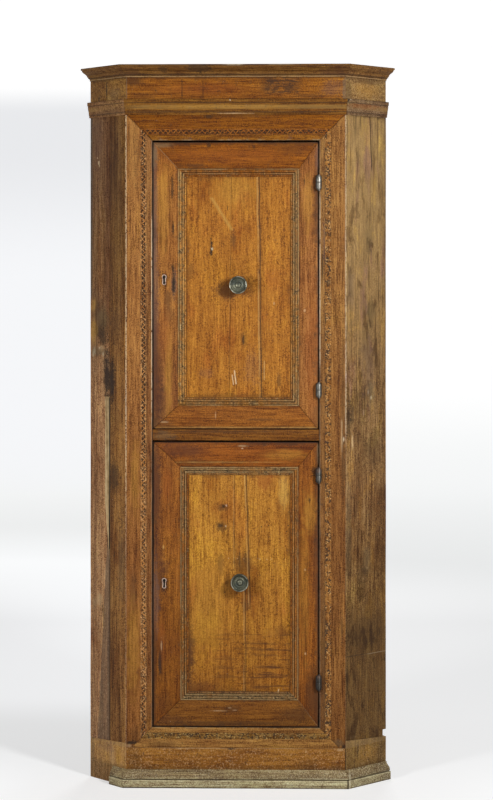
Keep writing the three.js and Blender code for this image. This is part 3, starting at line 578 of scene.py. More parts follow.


# Stains, knocks and losses on each piece, and painted shadows round the knobs: their kind, where they are
# across and up its face, their half width and half height (all in millimetres), and how strong they are
MARKS = {
    "left_stile": [
        ("dark", -288, 121.5, 18, 5.5, 1.0), ("pale", -297, 113, 8, 5, 0.6),
        ("soot", -285, 545, 10, 60, 0.55), ("soot", -278, 140, 20, 30, 0.4),
        ("gold", -285, 380, 18, 120, 0.5), ("straw", -283, 1760, 16, 100, 0.2),
        ("gold", -280, 860, 12, 100, 0.4)],
    "right_stile": [
        ("soot", 297, 1060, 6, 240, 0.65), ("soot", 298, 900, 6, 80, 0.6), ("dark", 298.5, 112, 6, 10, 1.0),
        ("grey", 284, 122, 16, 10, 0.6), ("soot", 246, 340, 10, 200, 0.6), ("white", 299, 965, 2.2, 6, 0.7),
        ("pale", 294, 970, 3, 50, 0.5), ("violet", 250, 1500, 10, 60, 0.6),
        ("dark", 240.5, 1440, 3, 50, 0.7), ("soot", 294, 440, 4, 40, 0.6)],
    "top_rail": [("dark", -75, 1858, 12, 6, 0.8), ("soot", 0, 1860, 120, 6, 0.6)],
    "bottom_rail": [("soot", -200, 118, 50, 10, 0.5), ("pale", 225, 137, 12, 3, 0.8)],
    "middle_rail": [("soot", -50, 985, 200, 4, 0.6), ("grey", -200, 972, 30, 12, 0.4)],
    "upper_door_lock_stile": [
        ("violet", -226, 1620, 10, 200, 0.6), ("grey", -228, 1750, 12, 30, 0.7),
        ("violet", -224, 1360, 12, 180, 0.65), ("plum", -220, 1130, 20, 170, 0.75),
        ("plum", -208, 1050, 22, 60, 0.5), ("gold", -186, 1140, 10, 120, 0.5),
        ("violet", -172.5, 1395, 9, 40, 0.8), ("dark", -172.8, 1395, 4.5, 32, 1.0),
        ("dark", -174, 1437, 3, 10, 0.9), ("soot", -188, 1350, 12, 30, 0.7),
        ("dark", -199, 1405, 10, 18, 0.5), ("gold", -200, 1600, 16, 120, 0.4),
        ("dark", -176, 1660, 3, 35, 0.7), ("dark", -174, 1550, 2.8, 20, 0.8),
        ("soot", -224, 1010, 16, 16, 0.8), ("soot", -176, 1440, 4, 10, 0.7),
        ("soot", -186, 1310, 16, 30, 0.5), ("red", -200, 1260, 18, 80, 0.4)],
    "upper_door_hinge_stile": [
        ("violet", 230, 1740, 10, 40, 0.6), ("soot", 231, 1620, 6, 40, 0.7),
        ("violet", 231, 1400, 5, 200, 0.5), ("soot", 226, 1020, 20, 40, 0.5),
        ("red", 212, 1200, 18, 200, 0.45), ("dark", 210, 1660, 3, 12, 0.6),
        ("gold", 200, 1620, 16, 80, 0.45), ("pale", 191, 1320, 3, 4, 0.6),
        ("dark", 190.5, 1675, 2, 10, 0.7)],
    "upper_door_top_rail": [
        ("red", -30, 1750, 160, 22, 0.35), ("dark", -75, 1779, 6, 7, 0.7), ("soot", 160, 1768, 50, 16, 0.4),
        ("soot", -112, 1722, 28, 6, 0.85), ("soot", -155, 1722, 10, 6, 0.7), ("dark", 50, 1772, 4, 6, 0.6),
        ("grey", -205, 1778, 30, 7, 0.6)],
    "upper_door_bottom_rail": [
        ("soot", -200, 1000, 30, 16, 0.6), ("pale", -56, 1030, 1.8, 10, 0.6),
        ("soot", 70, 1018, 50, 4, 0.6), ("pale", -200, 1011, 14, 2.2, 0.6),
        ("straw", -20, 996.5, 200, 1.8, 0.45), ("straw", 180, 996.5, 60, 1.8, 0.7)],
    "lower_door_lock_stile": [
        ("plum", -219, 820, 14, 130, 0.8), ("plum", -214, 600, 16, 100, 0.6),
        ("violet", -222, 520, 10, 100, 0.6), ("red", -190, 840, 14, 50, 0.4),
        ("soot", -209, 360, 8, 55, 0.6), ("dark", -210.5, 345, 3.8, 34, 1.0),
        ("dark", -204, 395, 2.2, 16, 0.8), ("pale", -206.5, 392, 2, 15, 0.95),
        ("dark", -199, 563.6, 10, 18, 0.5), ("soot", -226, 340, 8, 120, 0.6),
        ("straw", -201, 665, 3, 6, 0.8), ("plum", -197, 605, 12, 30, 0.5), ("soot", -196, 230, 26, 30, 0.4),
        ("red", -205, 400, 10, 60, 0.4)],
    "lower_door_hinge_stile": [
        ("soot", 230, 920, 9, 34, 0.9), ("grey", 228, 930, 3, 30, 0.6), ("dark", 224, 875, 12, 16, 0.8),
        ("soot", 214, 260, 22, 80, 0.8), ("pale", 192, 602, 2.8, 3, 0.8), ("gold", 205, 760, 18, 60, 0.5),
        ("gold", 190, 560, 14, 200, 0.35), ("plum", 222, 620, 12, 120, 0.45),
        ("pale", 193, 370, 2.6, 3, 0.7), ("dark", 205, 795, 3, 5, 0.7), ("soot", 230, 420, 6, 120, 0.7)],
    "lower_door_top_rail": [
        ("plum", -150, 932, 70, 22, 0.7), ("soot", -120, 900, 60, 10, 0.6), ("pale", 20, 945, 12, 3, 0.6),
        ("white", 18, 938, 3, 1.5, 0.7), ("gold", 140, 920, 60, 16, 0.4), ("straw", -30, 900, 160, 2, 0.4)],
    "lower_door_bottom_rail": [
        ("soot", 170, 200, 60, 24, 0.6), ("plum", -180, 185, 60, 14, 0.5), ("soot", 0, 178, 200, 6, 0.7),
        ("soot", -10, 216, 22, 12, 0.6), ("pale", -16, 219, 5, 1.2, 0.6), ("pale", -4, 213, 6, 1.2, 0.6),
        ("pale", -50, 211, 20, 2, 0.35)],
    "upper_door_panel": [
        # Painted shadows of the knob, below left and to its right, with dirt from hands
        ("plum", -26, 1375, 34, 30, 0.75), ("plum", 24, 1390, 24, 30, 0.55),
        ("dark", -68.5, 1497, 3.2, 22, 0.95), ("white", -66.5, 1492, 2.6, 3.8, 0.95),
        ("soot", -6, 1513, 6, 22, 0.7), ("dark", -23.6, 1604, 2.2, 7, 0.75),
        ("dark", 20.5, 1238, 3, 12, 0.8), ("soot", 20.5, 1240, 10, 20, 0.5),
        ("soot", 119, 1124, 7, 24, 0.75), ("violet", -82, 1145, 20, 14, 0.25),
        ("violet", 45, 1160, 22, 50, 0.25), ("gold", -2, 1655, 55, 45, 0.6), ("soot", 0, 1082, 160, 8, 0.5),
        ("soot", -126, 1430, 9, 20, 0.5), ("pale", 106, 1340, 2, 4, 0.8), ("soot", -85, 1432, 4, 4, 0.6)],
    "lower_door_panel": [
        # The first mark is a painted shadow round the lower knob, with dirt from hands
        ("soot", 4, 563, 34, 28, 0.45), ("dark", 10, 628, 3.5, 26, 0.6), ("dark", 26, 632, 3.5, 22, 0.6),
        ("soot", 18, 615, 30, 28, 0.55), ("soot", -37, 773, 16, 11, 0.75), ("soot", -40, 721, 18, 13, 0.8),
        ("dark", -34, 777, 4, 4, 0.8), ("dark", -44, 723, 6, 4, 0.7), ("white", -27, 779, 2, 2.5, 0.8),
        ("white", -28, 722, 2.2, 2.5, 0.7), ("soot", -42, 615, 10, 34, 0.6),
        ("plum", -132, 365, 20, 75, 0.9), ("plum", -110, 270, 50, 20, 0.5), ("red", 80, 850, 26, 30, 0.6),
        ("straw", 132, 815, 14, 45, 0.45), ("soot", 0, 255, 170, 8, 0.5), ("plum", 28, 500, 14, 16, 0.6),
        ("soot", -60, 888, 100, 6, 0.5), ("soot", 100, 884, 50, 8, 0.6), ("gold", -80, 500, 50, 120, 0.35),
        ("soot", 125, 430, 22, 16, 0.45)],
    "left_cant_front_plank": [
        ("soot", 45, 1720, 30, 120, 0.3), ("gold", 45, 1490, 30, 130, 0.12),
        ("soot", 50, 1280, 30, 50, 0.5), ("dark", 63, 1125, 14, 65, 0.95), ("dark", 50, 860, 18, 35, 0.6),
        ("soot", 55, 850, 22, 50, 0.6), ("grey", 20, 620, 14, 120, 0.4), ("soot", 35, 1020, 20, 30, 0.4)],
    "left_cant_rear_plank": [
        ("dark", 118, 1290, 24, 50, 0.6), ("soot", 130, 1330, 22, 50, 0.5), ("dark", 84, 1135, 16, 75, 1.0),
        ("grey", 100, 1290, 34, 35, 0.8), ("dark", 105, 1250, 28, 30, 0.7),
        ("straw", 146, 1335, 12, 20, 0.7), ("soot", 120, 1730, 50, 120, 0.25),
        ("gold", 110, 1490, 40, 130, 0.12), ("white", 147, 1200, 3, 12, 0.9),
        ("straw", 145, 1262, 16, 36, 0.8), ("pale", 112, 1213, 12, 8, 1.0),
        ("white", 140, 1205, 4, 10, 0.9), ("white", 102, 1197, 3, 6, 0.9), ("grey", 125, 1205, 30, 12, 0.8),
        ("white", 118, 1214, 3, 3, 0.9), ("violet", 130, 1800, 30, 100, 0.5),
        ("white", 122, 1735, 3.5, 6, 0.8), ("white", 128.5, 1749, 2.5, 3, 0.7),
        ("white", 119, 1727, 2, 4, 0.6), ("pale", 88, 575, 10, 30, 0.6), ("pale", 118, 505, 14, 18, 0.75),
        ("pale", 140, 495, 10, 12, 0.6), ("dark", 104, 480, 3, 20, 0.6)],
    "right_cant_board": [
        ("soot", 90, 1530, 18, 45, 0.65), ("dark", 92, 1505, 10, 20, 0.4), ("soot", 100, 1315, 20, 40, 0.8),
        ("dark", 92, 1320, 8, 20, 0.6), ("soot", 80, 1220, 30, 60, 0.5), ("violet", 85, 1160, 30, 80, 0.5),
        ("soot", 14, 1400, 12, 50, 0.6), ("violet", 20, 1380, 16, 60, 0.6),
        ("grey", 100, 1085, 14, 30, 0.7), ("white", 88, 1090, 2, 8, 0.7), ("white", 100, 1075, 4, 6, 0.7),
        ("pale", 70, 1035, 3, 10, 0.8), ("dark", 12, 1020, 8, 50, 0.7), ("dark", 26, 1030, 6, 30, 0.6),
        ("pale", 26, 955, 4, 18, 0.9), ("straw", 54, 1130, 10, 30, 0.4), ("soot", 60, 1060, 50, 60, 0.45),
        ("soot", 110, 930, 40, 50, 0.5), ("grey", 10, 700, 12, 120, 0.5), ("grey", 80, 620, 16, 40, 0.6),
        ("pale", 83, 600, 4, 4, 0.5), ("soot", 60, 580, 20, 30, 0.6), ("soot", 70, 420, 80, 60, 0.5),
        ("dark", 6, 300, 4, 40, 0.7), ("pale", 30, 135, 14, 5, 0.5)],
    "plinth_left": [
        ("violet", 85, 95, 40, 14, 0.5), ("gold", 30, 80, 16, 22, 0.5), ("pale", 60, 70, 12, 30, 0.35),
        ("grey", 150, 80, 8, 40, 0.6)],
    "plinth_right": [
        ("soot", 140, 80, 16, 50, 0.6), ("soot", 20, 70, 20, 30, 0.4), ("gold", 85, 85, 30, 20, 0.4),
        ("dark", 46, 95, 4, 20, 0.5)],
    "plinth_front": [
        ("pale", -100, 107.5, 120, 2, 0.5), ("pale", 140, 107.5, 60, 1.5, 0.45),
        ("dark", -12, 107, 10, 4, 0.8), ("soot", -280, 70, 20, 40, 0.5), ("soot", 200, 60, 30, 20, 0.4),
        ("pale", 292, 104, 10, 4, 0.7), ("soot", 280, 50, 20, 12, 0.6)],
    "crown_left": [("plum", 0, 1985, 30, 16, 0.5)],
    "crown_right": [("plum", 0, 1985, 30, 16, 0.5)],
    "crown_front": [
        ("white", -5, 1998, 30, 1.5, 0.75), ("white", 130, 1998.5, 50, 1.2, 0.5),
        ("dark", -100, 1990, 30, 10, 0.7), ("dark", -200, 1986, 12, 8, 0.5),
        ("plum", 280, 1980, 50, 14, 0.6), ("plum", -290, 1980, 30, 14, 0.6)],
    "cornice_right": [
        ("dark", 12, 1902, 3.5, 5, 1.0), ("white", 20, 1904, 2, 2, 0.9), ("red", 80, 1888, 70, 8, 0.45)],
    "cornice_left": [("soot", 80, 1875, 60, 8, 0.5)],
    "cornice_front": [
        ("white", -15, 1903, 2.5, 3, 0.95), ("pale", 0, 1866.5, 50, 1.5, 0.8),
        ("gold", -50, 1885, 200, 6, 0.5)],
    "frieze_right": [
        ("gold", 80, 1935, 50, 20, 0.4), ("soot", 10, 1930, 12, 40, 0.6), ("soot", 90, 1958, 60, 6, 0.5)],
    "frieze_left": [
        ("dark", 86, 1938, 3.2, 26, 0.9), ("dark", 121, 1915, 3, 12, 0.8), ("grey", 50, 1920, 30, 20, 0.4),
        ("straw", 75, 1915, 8, 10, 0.5)],
    "frieze_front": [
        ("soot", 90, 1946, 30, 26, 0.55), ("soot", 155, 1950, 36, 18, 0.5),
        ("grey", -302.5, 1930, 1.8, 40, 0.6), ("grey", 300, 1930, 4, 40, 0.8),
        ("soot", 200, 1915, 50, 6, 0.5), ("dark", -149, 1930, 2.2, 30, 0.65),
        ("dark", -91, 1930, 2, 30, 0.55), ("soot", -285, 1955, 30, 12, 0.85),
        ("red", -100, 1935, 120, 16, 0.35), ("violet", 270, 1935, 35, 24, 0.4),
        ("soot", -255, 1915, 40, 8, 0.4)],
}


def wood_of(piece):
    """The colour of a piece: its group's, tinted"""
    colours = bpy.context.scene.corner_cupboard.wood
    groups = (("base_", colours.base), ("cornice_", colours.cornice), ("crown_", colours.cornice),
              ("left_cant", colours.left_side), ("right_cant", colours.right_side))
    group = next((colour for start, colour in groups if piece.startswith(start)), colours.frame)
    if piece.endswith("_panel"):
        group = colours.panel
    if piece.endswith("_panel_moulding"):
        group = colours.trim
    if piece in ("frieze_left", "frieze_right"):
        group = colours.cornice
    return shade(tuple(group), TINTS.get(piece, 1.0))


def wood_for(piece, surface, seed, **options):
    """The wood of a piece, with the piece's own colour and marks"""
    return wood(piece + "_wood", wood_of(piece), surface, seed, MARKS.get(piece, ()), **options)


# Meshes


def node_copy(node):
    """A copy of a frame node's mesh, with its doubles merged and flat faces made whole"""
    bm = bmesh.new()
    bm.from_mesh(frame["nodes"][node].data)
    bmesh.ops.remove_doubles(bm, verts=bm.verts, dist=0.00002)
    bmesh.ops.dissolve_limit(bm, angle_limit=math.radians(1), verts=bm.verts, edges=bm.edges)
    return bm


def slice_along(bm, direction, step):
    """Cut a piece across at even steps, so that it can bend a little"""
    places = [vert.co.dot(direction) for vert in bm.verts]
    low, high = min(places), max(places)
    count = max(1, int((high - low) / step))
    for i in range(1, count):
        point = direction * (low + (high - low) * i / count)
        geometry = bm.verts[:] + bm.edges[:] + bm.faces[:]
        bmesh.ops.bisect_plane(bm, geom=geometry, dist=0.00001, plane_co=point, plane_no=direction)


def make_uneven(bm, amount, seed):
    """Move a piece's points a little, as wood that has warped and worn does"""
    noise.seed_set(NOISE_SEED)
    offset = Vector((seed, seed * 0.7, -seed))
    for vert in bm.verts:
        slow = noise.noise_vector(vert.co * 4.5 + offset)
        quick = noise.noise_vector(vert.co * 31 + offset)
        vert.co += (slow * 0.7 + quick * 0.45) * amount


def round_edges(bm, width, angle=30, segments=2):
    """Wear sharp edges round"""
    bm.normal_update()
    limit = math.radians(angle)
    edges = [edge for edge in bm.edges if len(edge.link_faces) == 2 and edge.calc_face_angle(0) > limit]
    bmesh.ops.bevel(bm, geom=edges, offset=width, offset_type="OFFSET", affect="EDGES", segments=segments,
                    profile=0.5, material=-1, clamp_overlap=True)


def smooth_by_angle(bm, angle):
    bm.normal_update()
    limit = math.radians(angle)
    for face in bm.faces:
        face.smooth = True
    for edge in bm.edges:
        edge.smooth = len(edge.link_faces) == 2 and edge.calc_face_angle(0) < limit


def add_piece(name, bm, body, material, replaces=(), angle=26):
    """Make a mesh a piece of the cupboard: it rides on its body and takes its place"""
    smooth_by_angle(bm, angle)
    mesh = bpy.data.meshes.new(name)
    bm.to_mesh(mesh)
    bm.free()
    mesh.materials.append(material)
    piece = bpy.data.objects.new(name, mesh)
    bpy.context.scene.collection.objects.link(piece)
    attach(piece, body)
    if replaces:
        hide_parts(*replaces)
    return piece


def add_worn_board(node, material, direction, step=0.055, seed=0.0, shape=None, width=None, warp=None):
    """Stand a worn copy in for a plain wooden node"""
    sizes = bpy.context.scene.corner_cupboard.sizes
    bm = node_copy(node)
    if shape is not None:
        shape(bm)
    slice_along(bm, Vector(direction), step)
    make_uneven(bm, sizes.warp if warp is None else warp, seed)
    round_edges(bm, sizes.edge if width is None else width)
    return add_piece("worn_" + node, bm, BODY_OF[node], material, (node,))


def dress_node(node, material):
    """Give a carried-over frame node its finish"""
    materials = frame["nodes"][node].data.materials
    materials.clear()
    materials.append(material)


def turned(profile, centre, axis, steps):
    """Spin a profile of (radius, height) about an axis through a centre. axis is Y or Z."""
    bm = bmesh.new()
    verts = []
    for radius, height in profile:
        place = (radius, -height, 0) if axis == "Y" else (radius, 0, height)
        verts.append(bm.verts.new(Vector(centre) + Vector(place)))
    edges = [bm.edges.new(pair) for pair in zip(verts, verts[1:])]
    direction = (0, 1, 0) if axis == "Y" else (0, 0, 1)
    bmesh.ops.spin(bm, geom=verts + edges, cent=centre, axis=direction, angle=2 * math.pi, steps=steps,
                   use_merge=True)
    bmesh.ops.remove_doubles(bm, verts=bm.verts, dist=0.000005)
    bmesh.ops.recalc_face_normals(bm, faces=bm.faces)
    return bm


def bead(centre, radius, rise, foot, steps=6):
    """Half a round, as points of a profile"""
    points = []
    for i in range(steps + 1):
        angle = math.pi * (1 - i / steps)
        points.append((centre + radius * math.cos(angle), foot + rise * math.sin(angle)))
    return points


# The carved frame round the doors


def sink_band(out_of):
    """Make room for the carving: lower what lies in the band behind the front"""
    sizes = bpy.context.scene.corner_cupboard.sizes

    def shape(bm):
        for vert in bm.verts:
            out = out_of(vert.co)
            inside = sizes.fillet + 0.0002 < out < sizes.fillet + sizes.band - 0.0002
            if inside and vert.co.y < FRONT + 0.003:
                vert.co.y = FRONT + BAND_BACK + 0.0001
    return shape


def carved_height(u, v, sizes, crisp):
    """How high the carving stands at a place along and across the band, from its middle"""
    half = sizes.band / 2
    phase = (u / sizes.carving_pitch) % 1.0
    ridge = (1 - 4 * abs(phase - 0.5)) * half * 0.46
    border = half * 0.76
    from_ridge = abs(v - ridge) - half * 0.11
    from_border = border - v if v > ridge else border + v
    notch = max(0.0, min(from_ridge * 0.75, from_border * 0.75, sizes.carving_depth))
    quirk = max(0.0, 1 - abs(abs(v) - half * 0.9) / (half * 0.1)) * 0.0011
    return 0.0003 - notch * crisp - quirk


def carved_band(out_dir, along_dir, corner, length, planes, crisp, seed):
    """One length of the carved band, cut off by mitre planes at its ends"""
    sizes = bpy.context.scene.corner_cupboard.sizes
    columns = int(length / sizes.carving_pitch * sizes.carving_steps)
    bm = bmesh.new()
    bmesh.ops.create_grid(bm, x_segments=columns, y_segments=9, size=1)
    middle = sizes.fillet + sizes.band / 2
    half = sizes.band / 2 - 0.0002
    for vert in bm.verts:
        u = vert.co.x * length / 2
        v = vert.co.y * half
        wobble = noise.noise(Vector((u * 14 + seed, v * 40, seed)))
        part = min(1.0, max(0.0, (u / length + 0.1) * 5))
        ragged = (noise.noise(Vector((u * 5.5, seed, 2))) * 0.45
                  + noise.noise(Vector((u * 60, v * 30, seed))) * 0.3)
        worn = min(1.0, max(0.04, crisp[0] + (crisp[1] - crisp[0]) * part + ragged))
        height = carved_height(u + wobble * 0.0008, v + wobble * 0.0005, sizes, worn) + wobble * 0.0003
        vert.co = Vector(corner) + along_dir * u + out_dir * (middle + v) + Vector((0, -height, 0))
    for point, normal in planes:
        geometry = bm.verts[:] + bm.edges[:] + bm.faces[:]
        bmesh.ops.bisect_plane(bm, geom=geometry, dist=0.000005, plane_co=point,
                               plane_no=normal, clear_outer=True)
    rim = [edge for edge in bm.edges if edge.is_boundary]
    walls = bmesh.ops.extrude_edge_only(bm, edges=rim)
    lowered = [item for item in walls["geom"] if isinstance(item, bmesh.types.BMVert)]
    for vert in lowered:
        vert.co.y = FRONT + BAND_BACK
    bmesh.ops.holes_fill(bm, edges=[edge for edge in bm.edges if edge.is_boundary], sides=0)
    bmesh.ops.recalc_face_normals(bm, faces=bm.faces)
    return bm


def band_finish(piece, seed, grain, worn_share, rubbed):
    """Wood in the carving, with its notches full of dark dirt, and crumbs where it is rubbed"""

    def notches(look, paint, sideways, up, mottle, cloud):
        depth = look.y - FRONT
        pits = (depth + (mottle - 0.5) * 0.0010).step(0.0001, 0.0011)
        paint.grime_and_shade(pits * 0.92, 0.9)
        tops = (0.0001 - depth).step(0, 0.0004) * mottle.step(0.44, 0.58)
        paint.coat(shade(wood_of(piece), (1.8, 2.4, 3.8)), tops * worn_share)
        crumbs = look.noise(look.place, 330 - 130 * rubbed, 3, 0.8)
        coarse = look.noise(look.place, 120 - 30 * rubbed, 3, 0.6)
        dark = (crumbs + (coarse - 0.5) * (0.6 + 0.4 * rubbed)).step(
            0.53 - 0.01 * rubbed, 0.61 - 0.02 * rubbed)
        paint.grime_and_shade(dark * (0.35 * rubbed + 0.62), 1.5)
        light = (crumbs - (coarse - 0.5) * 0.5).step(0.43, 0.35)
        paint.coat(shade(wood_of(piece), (2.3, 3.2, 5.6)), light * (0.25 * rubbed + 0.62))
        paint.cut(dark * 0.8)

    return wood_for(piece, Surface("front", grain), seed, extra=notches, speckle=1.2, rough=0.6)


class CUPBOARD_OT_door_frame(bpy.types.Operator):
    """Make the carved frame round the doors"""

    bl_idname = "cupboard.door_frame"
    bl_label = "Door Frame"

    def execute(self, context):
        half, top, foot, outer = OPENING_HALF, OPENING_TOP, OPENING_FOOT, BODY_HALF
        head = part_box("top_rail")[1].z
        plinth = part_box("plinth_front")[1].z
        rim = ((-half, foot), (half, top))
        mitres = {
            "tl": ((-half, top), (-outer, head)), "tr": ((half, top), (outer, head)),
            "bl": ((-half, foot), (-half - (foot - plinth), plinth)),
            "br": ((half, foot), (half + (foot - plinth), plinth)),
        }
        members = {
            "left_stile": dict(
                surface=Surface("front", "up"), seed=1.3, out=lambda co: -co.x - half, direction=(0, 0, 1),
                fillet=(0.78, 0.78, 0.90), bright=(0.96, 1.10), fades=[(0.6, 1.6, (0.74, 0.66, 0.62), "up")],
                arris=(1.06, 0.6, 0.22),
                lines=[(mitres["tl"], 0.0016, 0.7, "dark"), (mitres["bl"], 0.0016, 0.5, "dark")]),
            "right_stile": dict(
                surface=Surface("front", "up"), seed=7.9, out=lambda co: co.x - half, direction=(0, 0, 1),
                fillet=(0.83, 0.85, 0.95), bright=(1.14, 1.20), fades=[(0.6, 1.6, (0.74, 0.66, 0.64), "up")],
                arris=(1.03, 0.93, 0.12),
                lines=[(mitres["tr"], 0.0016, 0.7, "dark"), (mitres["br"], 0.0014, 0.4, "dark")]),
            "top_rail": dict(
                surface=Surface("front", "level"), seed=3.1, out=lambda co: co.z - top, direction=(1, 0, 0),
                fillet=(1.19, 1.42, 3.0), fades=[], arris=None,
                lines=[(mitres["tl"], 0.0016, 0.7, "dark"), (mitres["tr"], 0.0016, 0.7, "dark")]),
            "bottom_rail": dict(
                surface=Surface("front", "level"), seed=5.2, out=lambda co: foot - co.z, direction=(1, 0, 0),
                fillet=(0.95, 0.95, 0.95), fades=[], arris=None,
                lines=[(mitres["bl"], 0.0016, 0.5, "dark"), (mitres["br"], 0.0014, 0.4, "dark")]),
        }
        for node, m in members.items():
            material = wood_for(node, m["surface"], m["seed"], lines=m["lines"], inner=rim, fades=m["fades"],
                                arris=m["arris"], extra=self.fillet_tone(rim, m["fillet"], m.get("bright")))
            add_worn_board(node, material, m["direction"], seed=m["seed"], shape=sink_band(m["out"]))
        rail = wood_for("middle_rail", Surface("front", "level"), 9.4)
        add_worn_board("middle_rail", rail, (1, 0, 0), seed=9.4)
        self.add_bands(half, top, foot)
        return {"FINISHED"}

    def fillet_tone(self, rim, tint, bright):
        """The strip between the opening and the carving has its own tone, a painted shadow of the door gap
        along the opening, and a rubbed edge.
        bright gives the heights where the edge starts to be rubbed and where it is."""
        width = bpy.context.scene.corner_cupboard.sizes.fillet
        (x0, z0), (x1, z1) = rim

        def extra(look, paint, sideways, up, mottle, cloud):
            out = (x0 - look.x).most(look.x - x1).most((z0 - look.z).most(look.z - z1))
            share = (width - out).step(-0.0006, 0.0006)
            paint.tint(tint, share)
            quirk = stripe(out + (mottle - 0.5) * 0.002, width, 0.0016)
            paint.grime_and_shade(quirk * 0.6)
            # Painted shadow: a dark band along the opening widens the dark of the gap round the doors
            paint.grime_and_shade((0.0016 - out).step(0, 0.0006) * 0.9, 0.4)
            outline = between(out, 0.0014, 0.0032, 0.0007)
            if bright is None:
                paint.coat((0.50, 0.33, 0.15), outline * (mottle + 0.02).step(0.48, 0.6) * 0.5)
                return
            share = (look.z - bright[0]).step(0, bright[1] - bright[0])
            share = share * (1.66 - look.z + (cloud - 0.5)).step(0, 0.1)
            outline = outline * (share * 0.65 + 0.12) * (mottle + 0.12).step(0.48, 0.62)
            paint.coat(wood_colour("rubbed"), outline)

        return extra

    def add_bands(self, half, top, foot):
        x, z = Vector((1, 0, 0)), Vector((0, 0, 1))
        corners = {"tl": Vector((-half, FRONT, top)), "tr": Vector((half, FRONT, top)),
                   "bl": Vector((-half, FRONT, foot)), "br": Vector((half, FRONT, foot))}
        middle = (top + foot) / 2
        tall, wide = top - foot + 0.08, 2 * half + 0.08
        bands = [
            ("left", -x, z, (-half, FRONT, middle), tall,
             [("tl", x + z), ("bl", x - z)], (0.55, 1.0), "up", 0.7),
            ("right", x, z, (half, FRONT, middle), tall,
             [("tr", z - x), ("br", -x - z)], (0.05, 0.05), "up", 0.3),
            ("top", z, x, (0, FRONT, top), wide, [("tl", -x - z), ("tr", x - z)], (1.0, 1.0), "level", 0.75),
            ("bottom", -z, x, (0, FRONT, foot), wide,
             [("bl", z - x), ("br", x + z)], (0.10, 0.10), "level", 0.4)]
        owners = {"left": "left_stile", "right": "right_stile", "top": "top_rail", "bottom": "bottom_rail"}
        for i, (name, out, along, centre, length, cuts, crisp, grain, worn_share) in enumerate(bands):
            planes = [(corners[key], normal.normalized()) for key, normal in cuts]
            bm = carved_band(out, along, centre, length, planes, crisp, i * 5.3 + 1)
            material = band_finish(f"carved_band_{name}", 11.0 + i, grain, worn_share, 1.0 - min(crisp))
            add_piece(f"carved_band_{name}", bm, BODY_OF[owners[name]], material, angle=50)


# The doors


def door_rectangles(door):
    """A door's outer rectangle and the rectangle of its panel's moulding"""
    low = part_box(door + "_lock_stile")[0]
    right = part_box(door + "_hinge_stile")[1].x
    trim_low, trim_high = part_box(door + "_panel_moulding")
    outer = ((low.x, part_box(door + "_bottom_rail")[0].z), (right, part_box(door + "_top_rail")[1].z))
    inner = ((trim_low.x - 0.0003, trim_low.z - 0.0003), (trim_high.x + 0.0003, trim_high.z + 0.0003))
    return outer, inner


DOOR_FADES = {
    "upper_door_lock_stile": [(1.77, 1.60, (0.80, 0.66, 0.52), "up"), (1.06, 1.34, (0.74, 0.68, 0.84), "up")],
    "upper_door_hinge_stile": [(1.78, 1.62, (0.84, 0.76, 0.66), "up")],
    "lower_door_lock_stile": [(0.40, 0.62, (0.75, 0.70, 0.64), "up")],
    "lower_door_hinge_stile": [(0.22, 0.34, (0.72, 0.66, 0.66), "up")],
}


# Dark lines across the lower panel: height, left end, right end and strength
CROSSING_LINES = ((0.398, 0.03, 0.13, 0.6), (0.382, 0.0, 0.10, 0.6), (0.367, 0.01, 0.14, 0.5),
                  (0.334, 0.02, 0.12, 0.6), (0.3125, 0.035, 0.14, 1.0))


def panel_extra(seams, streaks, crossing):
    """What shows on a panel: joints between its boards, each with a painted highlight on one edge, and rubbed
    streaks across it
    """

    def extra(look, paint, sideways, up, mottle, cloud):
        hues = look.over(sideways * 14 + seams[0][0] * 90, up * 6, 3, 0.55)
        paint.tint((1.10, 1.17, 1.02), hues.step(0.54, 0.66) * 0.8)
        paint.tint((0.93, 0.80, 0.86), hues.step(0.46, 0.34) * 0.8)
        for place, lean, width, strength, low, high in seams:
            wavy = look.noise(look.vector(0.0, place, up * 9), 1, 2) * 0.008 - 0.004
            away = abs(sideways - place - (up - low) * lean - wavy)
            span = between(up, low, high, 0.03)
            mask = (1 - (away / width).clamped()) * (mottle + 0.30).step(0.45, 0.62)
            soft = (1 - (away / (width * 4.5)).clamped()) * 0.42 * mottle
            paint.grime_and_shade(mask.most(soft) * span * strength, 1.2)
            # Painted highlight: a pale line beside each joint, as on the lit edge of a board
            pale = stripe(sideways - (up - low) * lean - wavy, place - width * 2.2, width * 1.2)
            pale = pale * (cloud + 0.1).step(0.5, 0.6)
            paint.coat((0.60, 0.37, 0.13), pale * span * (0.5 * strength))
            paint.cut(mask * span * 1.5)
        if crossing:
            lines = look.over(sideways * 7, up * 120, 4, 0.62)
            area = between(up, 0.285, 0.41, 0.03) * between(sideways, -0.045, 0.15, 0.03)
            area = area * ((sideways + 0.02).step(0, 0.07) * 0.5 + 0.5)
            paint.coat((0.10, 0.036, 0.012), lines.step(0.53, 0.60) * area * 0.85)
            for level, left, right, strength in CROSSING_LINES:
                low = stripe(up + (mottle - 0.5) * 0.010 + sideways * 0.03, level, 0.0045)
                low = low * between(sideways, left, right, 0.012) * (cloud + mottle * 0.4).step(0.55, 0.75)
                paint.coat((0.085, 0.032, 0.012), low * strength)
            specks = look.over(sideways * 160, up * 60, 2).step(0.55, 0.62)
            row = stripe(up + sideways * 0.02 + (mottle - 0.5) * 0.004, 0.632, 0.0024)
            row = row * between(sideways, -0.02, 0.135, 0.01)
            paint.coat((0.72, 0.52, 0.26), row * specks * 0.9)
            foot = (0.33 - up).step(0, 0.12) * look.noise(look.place, 16, 4, 0.6).step(0.36, 0.62)
            paint.coat((0.155, 0.06, 0.018), foot * 0.62)
        for ends, reach, width, tone, strength in streaks:
            line = line_mask(look, sideways, up, ends, width, (mottle - 0.5) * 0.003)
            paint.coat(tone, line * between(up, reach[0], reach[1], 0.004) * strength)

    return extra


